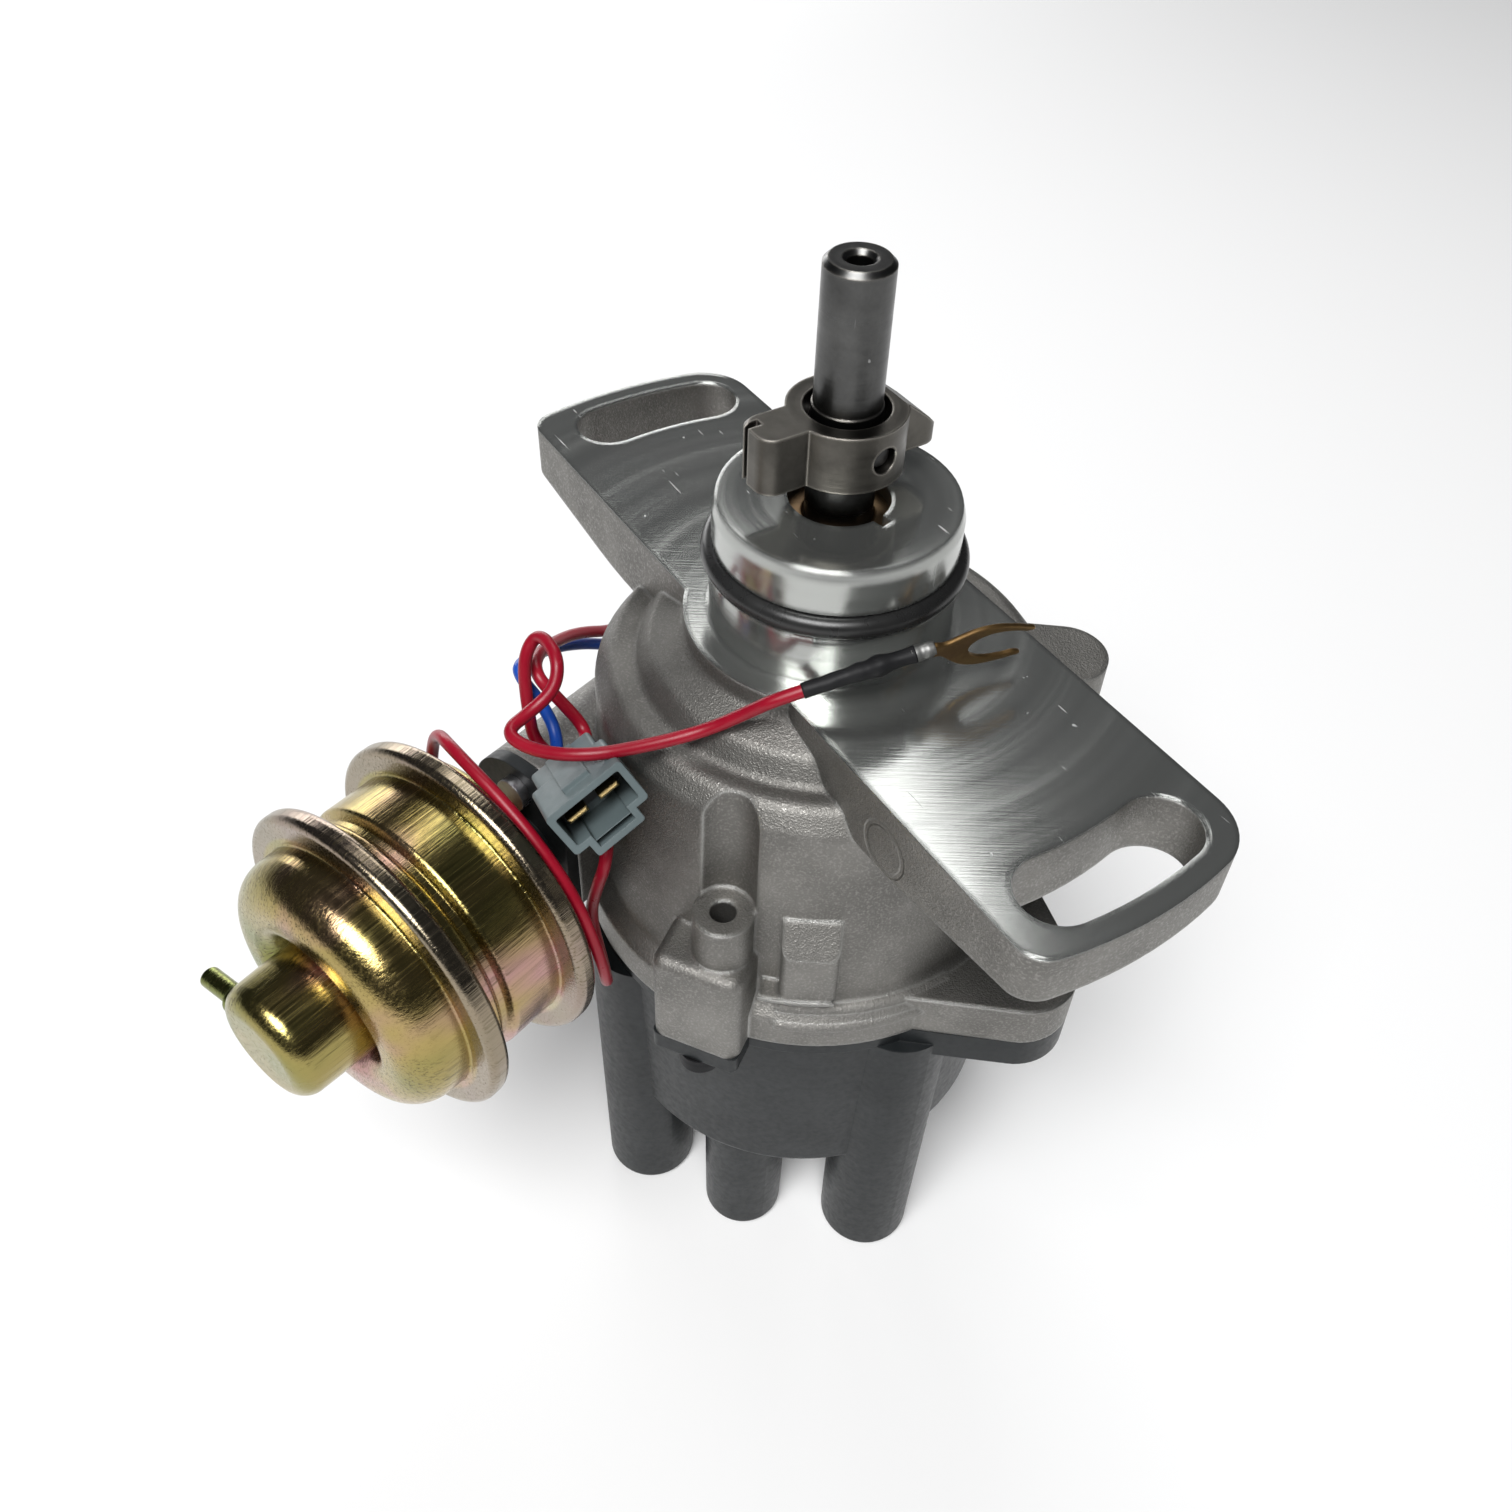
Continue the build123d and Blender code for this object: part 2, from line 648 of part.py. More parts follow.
with BuildPart() as drive_coupling:
    with BuildSketch(Plane.XY.offset(coupling_foot_z)):
        Circle(coupling_r)
        with Locations((wing_offset, 0)):
            RectangleRounded(wing_w, 2 * wing_reach, wing_tip_round)
        Circle(coupling_bore_r, mode=Mode.SUBTRACT)
    extrude(amount=coupling_h)
    # the wings slope down towards their tips
    with BuildSketch(Plane.YZ):
        with BuildLine():
            wing_top_z = coupling_foot_z + coupling_h
            Polyline(
                (coupling_r - 1.2, wing_top_z), (wing_reach - 2.6, coupling_foot_z + wing_tip_h),
                (wing_reach + 1, coupling_foot_z + 0.9), (wing_reach + 1, wing_top_z + 1),
                (coupling_r - 1.2, wing_top_z + 1), close=True,
            )
        make_face()
        mirror(about=Plane.XZ)
    extrude(amount=coupling_r, both=True, mode=Mode.SUBTRACT)
    with BuildSketch(pin_plane):
        Circle(pin_r + rock_slack)
    extrude(amount=coupling_r + 1, both=True, mode=Mode.SUBTRACT)
    # slot in the end of one wing
    with BuildSketch(Plane.XY.offset(coupling_foot_z)):
        with Locations((wing_offset - 1.4, -wing_reach)):
            Rectangle(wing_slot_w, 4.4)
    extrude(amount=coupling_h, mode=Mode.SUBTRACT)
    chamfer(edges().filter_by(GeomType.CIRCLE).group_by(Axis.Z)[-1].sort_by(SortBy.LENGTH)[0], coupling_edge_r)
drive_coupling.part.label = "drive_coupling"
export_step(drive_coupling.part, "parts/drive_coupling.step")

with BuildPart() as coupling_pin:
    with BuildSketch(pin_plane):
        Circle(pin_r)
    extrude(amount=coupling_r - pin_recess, both=True)
    chamfer(edges().filter_by(GeomType.CIRCLE), 0.3)
coupling_pin.part.label = "coupling_pin"
export_step(coupling_pin.part, "parts/coupling_pin.step")

# ================================================================ governor
pivot_places = [polar(weight_pivot_pitch_r, angle) for angle in (90, 270)]
spring_posts = [Vector(spring_post_x, spring_post_y, 0), Vector(-spring_post_x, -spring_post_y, 0)]
spring_z = advance_top_z - advance_disc_t - spring_level_drop
with BuildPart() as governor_plate:
    with BuildSketch(Plane.XY.offset(governor_disc_z)):
        Circle(governor_disc_r)
        with Locations((0, governor_disc_r + 6), (0, -governor_disc_r - 6)):
            Circle(11.0, mode=Mode.SUBTRACT)
    extrude(amount=governor_disc_t)
    with BuildSketch(Plane.XY.offset(governor_disc_z)):
        Circle(bush_bore_r - 0.4)
    extrude(amount=hub_top_z - governor_disc_z - 0.1)
    with BuildSketch(Plane.XY.offset(weight_foot_z - 1.2)):
        with Locations(pivot_places):
            Circle(weight_pivot_r)
    extrude(amount=governor_top_z - weight_foot_z)
    with BuildSketch(Plane.XY.offset(spring_z - governor_spring_r)):
        with Locations(spring_posts):
            Circle(spring_post_r)
    extrude(amount=governor_top_z - spring_z + governor_spring_r - 0.6)
    with BuildSketch(Plane.XY.offset(governor_disc_z)):
        Circle(shaft_r)
    extrude(amount=hub_top_z - governor_disc_z, mode=Mode.SUBTRACT)
governor_plate.part.label = "governor_plate"
export_step(governor_plate.part, "parts/governor_plate.step")

for weight_name, pivot_angle in (("governor_weight_a", 90), ("governor_weight_b", 270)):
    with BuildPart() as governor_weight:
        with BuildSketch(Plane.XY.offset(weight_foot_z)):
            with BuildLine():
                outer_arc = CenterArc((0, 0), weight_outer_r, pivot_angle - 110, 115)
                inner_arc = CenterArc((0, 0), weight_inner_r, pivot_angle - 110, 115)
                Line(outer_arc @ 0, inner_arc @ 0)
                Line(outer_arc @ 1, inner_arc @ 1)
            make_face()
            fillet(vertices(), 1.2)
            with Locations(polar(weight_pivot_pitch_r, pivot_angle)):
                Circle(weight_eye_r)
                Circle(weight_pivot_r + running_fit, mode=Mode.SUBTRACT)
        extrude(amount=weight_t)
        with BuildSketch(Plane.XY.offset(weight_foot_z)):
            with Locations(polar(drive_pin_pitch_r, pivot_angle - 90)):
                Circle(drive_pin_r)
        extrude(amount=-(advance_disc_t + 2 * face_gap))
    governor_weight.part.label = weight_name
    export_step(governor_weight.part, "parts/" + weight_name + ".step")

with BuildPart() as weight_clips:
    with BuildSketch(Plane.XY.offset(weight_foot_z - 0.9)):
        with Locations(pivot_places):
            Circle(weight_eye_r - 0.3)
        with Locations(pivot_places):
            Circle(weight_pivot_r, mode=Mode.SUBTRACT)
    extrude(amount=0.7)
weight_clips.part.label = "weight_clips"
export_step(weight_clips.part, "parts/weight_clips.step")

weight_pin_far_r = hypot(
    drive_pin_pitch_r * cos(radians(weight_swing)) + weight_pivot_pitch_r * sin(radians(weight_swing)),
    weight_pivot_pitch_r * (1 - cos(radians(weight_swing))) + drive_pin_pitch_r * sin(radians(weight_swing)),
)
pin_slot_in_r = drive_pin_pitch_r - drive_pin_r - drive_pin_gap
pin_slot_out_r = weight_pin_far_r + drive_pin_r + drive_pin_gap
spring_pins = [polar(spring_pin_pitch_r, 0), polar(spring_pin_pitch_r, 180)]
with BuildPart() as advance_plate:
    with BuildSketch(Plane.XY.offset(advance_foot_z)):
        Circle(advance_disc_r)
        RectangleRounded(2 * advance_arm_r, advance_arm_w, 2.0)
        with PolarLocations((pin_slot_in_r + pin_slot_out_r) / 2, 2):
            SlotOverall(pin_slot_out_r - pin_slot_in_r, 2 * (drive_pin_r + drive_pin_gap), mode=Mode.SUBTRACT)
        Circle(sleeve_end_r, mode=Mode.SUBTRACT)
    extrude(amount=advance_disc_t)
    with BuildSketch(Plane.XY.offset(spring_z - governor_spring_r)):
        with Locations(spring_pins):
            Circle(spring_post_r)
    extrude(amount=advance_foot_z - spring_z + governor_spring_r)
advance_plate.part.label = "advance_plate"
export_step(advance_plate.part, "parts/advance_plate.step")

spring_run = abs(spring_post_y) - 2 * (spring_post_r + 0.9)
with BuildPart() as governor_springs:
    for pin_place, post_place in zip(spring_pins, spring_posts):
        start = Vector(pin_place.X, pin_place.Y, spring_z)
        run = (Vector(post_place.X, post_place.Y, spring_z) - start).normalized()
        with BuildLine() as coil_line:
            Helix(spring_run / 4, spring_run, governor_spring_r, start + run * (spring_post_r + 0.9), run)
        with BuildSketch(Plane(origin=coil_line.line @ 0, z_dir=coil_line.line % 0)):
            Circle(spring_wire_r)
        sweep(path=coil_line.line)
governor_springs.part.label = "governor_springs"
export_step(governor_springs.part, "parts/governor_springs.step")

# ================================================================ rotor shaft and signal parts
lip_top_z = pilot_end_z - 0.2
lip_foot_z = lip_top_z - lip_t
with BuildPart() as rotor_shaft:
    with BuildSketch(shaft_plane):
        with BuildLine():
            Polyline(
                (pilot_r + running_fit, sleeve_top_z), (sleeve_end_r, sleeve_top_z), (sleeve_end_r, advance_foot_z),
                (sleeve_r, advance_foot_z), (sleeve_r, sleeve_step_z), (sleeve_end_r, sleeve_step_z),
                (sleeve_end_r, sleeve_end_z), (screw_head_r + 0.5, sleeve_end_z), (screw_head_r + 0.5, lip_foot_z),
                (lip_bore_r, lip_foot_z), (lip_bore_r, lip_top_z), (pilot_r + running_fit, lip_top_z), close=True,
            )
        make_face()
    revolve(axis=Axis.Z)
rotor_shaft.part.label = "rotor_shaft"
export_step(rotor_shaft.part, "parts/rotor_shaft.step")

with BuildPart() as rotor_shaft_screw:
    with BuildSketch(Plane.XY.offset(lip_foot_z - 0.2 - screw_head_t)):
        Circle(screw_head_r)
    extrude(amount=screw_head_t)
    with BuildSketch(Plane.XY.offset(lip_foot_z - 0.2)):
        Circle(screw_shank_r)
    extrude(amount=10.0)
    with BuildSketch(Plane.XY.offset(lip_foot_z - 0.2 - screw_head_t)):
        Rectangle(2 * screw_head_r, 0.9)
    extrude(amount=0.9, mode=Mode.SUBTRACT)
rotor_shaft_screw.part.label = "rotor_shaft_screw"
export_step(rotor_shaft_screw.part, "parts/rotor_shaft_screw.step")

with BuildPart() as signal_rotor:
    with BuildSketch(Plane.XY.offset(signal_top_z)):
        Circle(signal_hub_r)
        with PolarLocations(signal_hub_r / 2, tooth_count, start_angle=coil_angle):
            Rectangle(signal_hub_r + 2 * (signal_tip_r - signal_hub_r), signal_tooth_w)
        Circle(signal_tip_r, mode=Mode.INTERSECT)
        Circle(sleeve_r, mode=Mode.SUBTRACT)
    extrude(amount=-signal_h)
signal_rotor.part.label = "signal_rotor"
export_step(signal_rotor.part, "parts/signal_rotor.step")

with BuildPart() as pickup_base_plate:
    with BuildSketch(Plane.XY.offset(base_plate_z)):
        Circle(plate_bore_r - 0.1)
        Circle(collar_bore_r, mode=Mode.SUBTRACT)
    extrude(amount=base_plate_t)
    with BuildSketch(Plane.XY.offset(base_plate_z)):
        Circle(collar_r)
        Circle(collar_bore_r, mode=Mode.SUBTRACT)
    extrude(amount=-collar_l)
    with BuildSketch(Plane.XY.offset(clip_z)):
        Circle(collar_r + 1)
        Circle(collar_r - 0.5, mode=Mode.SUBTRACT)
    extrude(amount=clip_t, mode=Mode.SUBTRACT)
    with BuildSketch(Plane.XY.offset(plate_seat_z)):
        with Locations([polar(pillar_pitch_r - 0.6, angle) for angle in pillar_angles]):
            Circle(1.4)
    extrude(amount=-base_plate_t, mode=Mode.SUBTRACT)
pickup_base_plate.part.label = "pickup_base_plate"
export_step(pickup_base_plate.part, "parts/pickup_base_plate.step")

with BuildPart() as base_plate_screws:
    for angle in pillar_angles:
        with BuildSketch(Plane.XY.offset(base_plate_z)):
            with Locations(polar(pillar_pitch_r - 0.6, angle)):
                Circle(2.4)
        extrude(amount=-1.2)
        with BuildSketch(Plane.XY.offset(base_plate_z)):
            with Locations(polar(pillar_pitch_r - 0.6, angle)):
                Circle(1.4)
        extrude(amount=7.0)
base_plate_screws.part.label = "base_plate_screws"
export_step(base_plate_screws.part, "parts/base_plate_screws.step")

with BuildPart() as pickup_plate:
    with BuildSketch(Plane.XY.offset(pickup_z)):
        Circle(pickup_plate_r)
        with Locations(polar(pickup_arm_reach / 2, advance_angle)):
            RectangleRounded(pickup_arm_reach, pickup_arm_w, 2.0, rotation=advance_angle)
        Circle(collar_r + running_fit, mode=Mode.SUBTRACT)
        with Locations(polar(can_offset, advance_angle)):
            Circle(advance_pin_r, mode=Mode.SUBTRACT)
    extrude(amount=pickup_plate_t)
pickup_plate.part.label = "pickup_plate"
export_step(pickup_plate.part, "parts/pickup_plate.step")

with BuildPart() as plate_clip:
    with BuildSketch(Plane.XY.offset(clip_z)):
        Circle(collar_r + 1.8)
        Circle(collar_r - 0.5, mode=Mode.SUBTRACT)
        with Locations(polar(collar_r, coil_angle)):
            Rectangle(5.0, core_w + clip_gap_past_core, rotation=coil_angle, mode=Mode.SUBTRACT)
    extrude(amount=clip_t)
plate_clip.part.label = "plate_clip"
export_step(plate_clip.part, "parts/plate_clip.step")

with BuildPart() as advance_pin:
    with BuildSketch(Plane.XY.offset(pickup_top_z)):
        with Locations(polar(can_offset, advance_angle)):
            Circle(advance_pin_r)
    extrude(amount=can_z - rod_t - pickup_top_z)
advance_pin.part.label = "advance_pin"
export_step(advance_pin.part, "parts/advance_pin.step")

pole_r = signal_tip_r + air_gap
coil_near_r = pole_r + 2.2
core_foot_t = 1.4
core_foot_z = pickup_z - core_foot_t
coil_x = polar(1, coil_angle)
with BuildPart() as pickup_core:
    with BuildSketch(Plane(origin=(0, 0, core_foot_z), x_dir=coil_x, z_dir=(0, 0, 1))):
        with Locations((pole_r + 5.2, 0)):
            RectangleRounded(8.0, coil_w + 8, 2.0)
    extrude(amount=core_foot_t)
    with BuildSketch(Plane(origin=(0, 0, pickup_z), x_dir=coil_x, z_dir=(0, 0, 1))):
        with Locations((pole_r + 1.1, 0)):
            Rectangle(2.2, core_w)
    extrude(amount=signal_top_z - signal_h - pickup_z)
pickup_core.part.label = "pickup_core"
export_step(pickup_core.part, "parts/pickup_core.step")

with BuildPart() as pickup_coil:
    with BuildSketch(Plane(origin=(0, 0, core_foot_z), x_dir=coil_x, z_dir=(0, 0, 1))):
        with Locations((coil_near_r + coil_depth / 2, 0)):
            RectangleRounded(coil_depth, coil_w, 1.5)
    extrude(amount=-coil_h)
    with BuildSketch(Plane(origin=(0, 0, core_foot_z - 2), x_dir=coil_x, z_dir=(0, 0, 1))):
        with Locations((coil_near_r + coil_depth / 2, 0)):
            Rectangle(coil_depth + 2, coil_w + 2)
            Rectangle(coil_depth - 2, coil_w - 2, mode=Mode.SUBTRACT)
    extrude(amount=-(coil_h - 4), mode=Mode.SUBTRACT)
pickup_coil.part.label = "pickup_coil"
export_step(pickup_coil.part, "parts/pickup_coil.step")

with BuildPart() as pickup_magnet:
    with BuildSketch(Plane(origin=(0, 0, core_foot_z - coil_h), x_dir=coil_x, z_dir=(0, 0, 1))):
        with Locations((coil_near_r + coil_depth / 2, 0)):
            Rectangle(coil_depth - 2.4, coil_w - 7)
    extrude(amount=-2.2)
pickup_magnet.part.label = "pickup_magnet"
export_step(pickup_magnet.part, "parts/pickup_magnet.step")

with BuildPart() as pickup_screws:
    for side in (-1, 1):
        with BuildSketch(Plane(origin=(0, 0, core_foot_z), x_dir=coil_x, z_dir=(0, 0, 1))):
            with Locations((pole_r + 6.6, side * (coil_w / 2 + 1.8))):
                Circle(1.7)
        extrude(amount=-1.4)
pickup_screws.part.label = "pickup_screws"
export_step(pickup_screws.part, "parts/pickup_screws.step")

# ================================================================ vacuum can
rim_mid_r = can_rim_r - can_sheet / 2
drum_mid_r = drum_r - can_sheet / 2
groove_mid_r = drum_groove_r - can_sheet / 2
crimp_in_r = can_rim_r - 2.4
fold_r = can_rim_r - can_sheet - 0.45
bracket_face_t = can_boss_end + bracket_t
with BuildPart() as vacuum_bracket:
    with BuildSketch(can_plane(can_boss_end)):
        RectangleRounded(can_boss_w, can_boss_h, can_boss_w / 2 - 1)
        Circle(can_neck_bore_r, mode=Mode.SUBTRACT)
        with GridLocations(0, 2 * bracket_screw_pitch, 1, 2):
            Circle(1.75, mode=Mode.SUBTRACT)
    extrude(amount=bracket_t)
    with BuildSketch(can_plane(can_boss_end - 6)):
        Circle(can_neck_r)
        Circle(can_neck_bore_r, mode=Mode.SUBTRACT)
    extrude(amount=can_neck_end - can_boss_end + 6)
vacuum_bracket.part.label = "vacuum_bracket"
export_step(vacuum_bracket.part, "parts/vacuum_bracket.step")

with BuildPart() as bracket_screws:
    with BuildSketch(can_plane(bracket_face_t)):
        with GridLocations(0, 2 * bracket_screw_pitch, 1, 2):
            Circle(2.9)
    extrude(amount=1.8)
    with BuildSketch(can_plane(bracket_face_t)):
        with GridLocations(0, 2 * bracket_screw_pitch, 1, 2):
            Circle(1.6)
    extrude(amount=-8.0)
bracket_screws.part.label = "bracket_screws"
export_step(bracket_screws.part, "parts/bracket_screws.step")

with BuildPart() as vacuum_rear_shell:
    with BuildSketch(can_profile):
        with BuildLine():
            FilletPolyline(
                (can_neck_r + can_sheet / 2, can_neck_end - 4), (can_neck_r + can_sheet / 2, can_neck_end),
                (drum_mid_r - 0.6, can_neck_end + 1), (drum_mid_r + 0.6, rear_rim_t), (fold_r, rear_rim_t),
                radius=[1.4, 2.0, 0.8],
            )
        trace(line_width=can_sheet)
    revolve(axis=can_axis)
vacuum_rear_shell.part.label = "vacuum_rear_shell"
export_step(vacuum_rear_shell.part, "parts/vacuum_rear_shell.step")

main_film_t = rear_rim_t + can_sheet / 2
main_cup_t = main_film_t + diaphragm_t + 0.2
film_hole_r = hypot(rod_w, rod_t) / 2 + face_gap
with BuildPart() as main_diaphragm:
    with BuildSketch(can_plane(main_film_t)):
        Circle(fold_r)
        Circle(film_hole_r, mode=Mode.SUBTRACT)
    extrude(amount=diaphragm_t)
main_diaphragm.part.label = "main_diaphragm"
export_step(main_diaphragm.part, "parts/main_diaphragm.step")

drum_rear_t = main_film_t + diaphragm_t + can_sheet / 2
nipple_side = -can_side
rear_nipple_way = Vector(nipple_side.X * 0.5, nipple_side.Y * 0.5, -0.866)
rear_nipple_foot = can_foot + can_way * rear_nipple_t + rear_nipple_way * (drum_mid_r - 0.4)
with BuildPart() as vacuum_mid_drum:
    with BuildSketch(can_profile):
        with BuildLine():
            FilletPolyline(
                (crimp_in_r, rear_rim_t - can_sheet), (rim_mid_r, rear_rim_t - can_sheet),
                (rim_mid_r, drum_rear_t), (drum_mid_r, drum_rear_t), (drum_mid_r, 64.5),
                (groove_mid_r, 65.5), (groove_mid_r, 67.0), (drum_mid_r, 68.0),
                (drum_mid_r, front_rim_t), (fold_r, front_rim_t),
                radius=[0.8, 0.8, 0.8, 0.5, 0.5, 0.5, 0.5, 0.8],
            )
        trace(line_width=can_sheet)
    revolve(axis=can_axis)
    with BuildSketch(Plane(origin=rear_nipple_foot - rear_nipple_way * 2, z_dir=rear_nipple_way)):
        Circle(nipple_collar_r)
    extrude(amount=6, mode=Mode.SUBTRACT)
vacuum_mid_drum.part.label = "vacuum_mid_drum"
export_step(vacuum_mid_drum.part, "parts/vacuum_mid_drum.step")

sub_film_t = front_rim_t + can_sheet / 2
with BuildPart() as sub_diaphragm:
    with BuildSketch(can_plane(sub_film_t)):
        Circle(fold_r)
        Circle(2.2, mode=Mode.SUBTRACT)
    extrude(amount=diaphragm_t)
sub_diaphragm.part.label = "sub_diaphragm"
export_step(sub_diaphragm.part, "parts/sub_diaphragm.step")

dome_mid_r = dome_r - can_sheet / 2
dome_rear_t = sub_film_t + diaphragm_t + can_sheet / 2
front_nipple_way = (can_side * -0.985 + Vector(0, 0, -0.174)).normalized()
front_nipple_foot = can_foot + can_way * front_nipple_t + front_nipple_way * (can_boss_cap_r - 2)
with BuildPart() as vacuum_front_dome:
    with BuildSketch(can_profile):
        with BuildLine():
            FilletPolyline(
                (crimp_in_r, front_rim_t - can_sheet), (rim_mid_r, front_rim_t - can_sheet),
                (rim_mid_r, dome_rear_t), (dome_mid_r, dome_rear_t), (dome_mid_r - 0.4, dome_front_t),
                (dome_recess_r + 1.8, dome_front_t), (dome_recess_r, dome_recess_t),
                (can_boss_cap_r, dome_recess_t), (can_boss_cap_r - can_sheet / 2, can_boss_cap_t),
                (0.0, can_boss_cap_t),
                radius=[0.8, 0.8, 0.8, 6.0, 2.4, 0.6, 0.6, 3.0],
            )
        trace(line_width=can_sheet)
        with Locations((-25, dome_recess_t)):
            Rectangle(50, 60, mode=Mode.SUBTRACT)
    revolve(axis=can_axis)
    with BuildSketch(Plane(origin=front_nipple_foot, z_dir=front_nipple_way)):
        Circle(nipple_collar_r)
    extrude(amount=6, mode=Mode.SUBTRACT)
vacuum_front_dome.part.label = "vacuum_front_dome"
export_step(vacuum_front_dome.part, "parts/vacuum_front_dome.step")

for nipple_name, nipple_foot, nipple_way in (
    ("vacuum_front_nipple", front_nipple_foot, front_nipple_way),
    ("vacuum_rear_nipple", rear_nipple_foot - rear_nipple_way, rear_nipple_way),
):
    nipple_plane = Plane(origin=nipple_foot, z_dir=nipple_way)
    with BuildPart() as vacuum_nipple:
        with BuildSketch(nipple_plane):
            Circle(nipple_r)
        extrude(amount=nipple_l + 2)
        chamfer(edges().group_by(Axis(nipple_foot, nipple_way))[-1], 0.4)
        with BuildSketch(nipple_plane):
            Circle(nipple_collar_r)
        extrude(amount=nipple_collar_l)
        with BuildSketch(nipple_plane):
            Circle(nipple_bore_r)
        extrude(amount=nipple_l + 2, mode=Mode.SUBTRACT)
    vacuum_nipple.part.label = nipple_name
    export_step(vacuum_nipple.part, "parts/" + nipple_name + ".step")

with BuildPart() as vacuum_rod:
    with BuildSketch(Plane(origin=can_foot - Vector(0, 0, rod_t / 2), x_dir=can_way, z_dir=(0, 0, 1))):
        with Locations((main_cup_t / 2, 0)):
            Rectangle(main_cup_t - 2 * advance_pin_r, rod_w)
        with Locations((0, 0)):
            Circle(advance_pin_r + loose_gap + 1.2)
            Circle(advance_pin_r + loose_gap, mode=Mode.SUBTRACT)
    extrude(amount=rod_t)
    with BuildSketch(can_plane(main_cup_t - advance_pin_r)):
        Circle(rivet_r)
    extrude(amount=advance_pin_r + cup_sheet)
    with BuildSketch(can_plane(main_cup_t + cup_sheet)):
        Circle(rivet_head_r)
    extrude(amount=cup_sheet)
vacuum_rod.part.label = "vacuum_rod"
export_step(vacuum_rod.part, "parts/vacuum_rod.step")

with BuildPart() as main_diaphragm_cup:
    with BuildSketch(can_plane(main_cup_t)):
        Circle(cup_r)
        Circle(rivet_r, mode=Mode.SUBTRACT)
    extrude(amount=cup_sheet)
    with BuildSketch(can_plane(main_cup_t)):
        Circle(cup_r)
        Circle(cup_r - cup_sheet, mode=Mode.SUBTRACT)
    extrude(amount=cup_h)
main_diaphragm_cup.part.label = "main_diaphragm_cup"
export_step(main_diaphragm_cup.part, "parts/main_diaphragm_cup.step")

sub_cup_t = sub_film_t - 0.2
with BuildPart() as sub_diaphragm_cup:
    with BuildSketch(can_plane(sub_cup_t - 1.0)):
        Circle(cup_r - 3)
    extrude(amount=1.0)
    with BuildSketch(can_plane(sub_cup_t - 1.0)):
        Circle(2.0)
    extrude(amount=diaphragm_t + 3.2)
    with BuildSketch(can_plane(sub_film_t + diaphragm_t + 0.2)):
        Circle(cup_r - 3)
    extrude(amount=1.0)
sub_diaphragm_cup.part.label = "sub_diaphragm_cup"
export_step(sub_diaphragm_cup.part, "parts/sub_diaphragm_cup.step")

can_springs = (
    ("main_spring", main_cup_t + 1.6, sub_cup_t - 1.6 - vacuum_stroke, 9.0),
    ("sub_spring", sub_film_t + diaphragm_t + 1.8, dome_recess_t + 9.0, 6.0),
)
for spring_name, spring_start, spring_end, spring_r in can_springs:
    with BuildPart() as can_spring:
        with BuildLine() as coil_line:
            spring_l = spring_end - spring_start
            Helix(spring_l / 4, spring_l, spring_r, can_foot + can_way * spring_start, can_way)
        with BuildSketch(Plane(origin=coil_line.line @ 0, z_dir=coil_line.line % 0)):
            Circle(0.6)
        sweep(path=coil_line.line)
    can_spring.part.label = spring_name
    export_step(can_spring.part, "parts/" + spring_name + ".step")

# ================================================================ dust cover and rotor arm
with BuildPart() as dust_cover:
    with BuildSketch(Plane.XY.offset(cover_seat_z)):
        Circle(cover_bore_r - 0.1)
        Circle(dust_cover_bore_r, mode=Mode.SUBTRACT)
    extrude(amount=-dust_cover_t)
dust_cover.part.label = "dust_cover"
export_step(dust_cover.part, "parts/dust_cover.step")

rotor_x = polar(1, rotor_angle)
arm_t = 4.0
with BuildPart() as rotor_arm:
    with BuildSketch(Plane.XY.offset(rotor_top_z)):
        Circle(rotor_hub_r)
    extrude(amount=rotor_face_z - rotor_top_z)
    with BuildSketch(Plane(origin=(0, 0, rotor_face_z), x_dir=rotor_x, z_dir=(0, 0, 1))):
        with Locations((rotor_arm_reach / 2, 0)):
            RectangleRounded(rotor_arm_reach, rotor_arm_w, 3.0)
        with Locations((-6, 0)):
            RectangleRounded(21.0, rotor_arm_w, 5.0)
    extrude(amount=arm_t)
    fillet(edges().group_by(Axis.Z)[-1], 1.0)
    with BuildSketch(Plane.XY.offset(rotor_top_z)):
        Circle(sleeve_end_r + running_fit)
    extrude(amount=sleeve_end_z - rotor_top_z - 0.4, mode=Mode.SUBTRACT)
rotor_arm.part.label = "rotor_arm"
export_step(rotor_arm.part, "parts/rotor_arm.step")

with BuildPart() as rotor_contact:
    with BuildSketch(Plane(origin=(0, 0, rotor_contact_z), x_dir=rotor_x, z_dir=(0, 0, 1))):
        with Locations((rotor_contact_reach / 2 - 2, 0)):
            RectangleRounded(rotor_contact_reach + 4, rotor_contact_w, 1.4)
    extrude(amount=rotor_contact_t)
rotor_contact.part.label = "rotor_contact"
export_step(rotor_contact.part, "parts/rotor_contact.step")

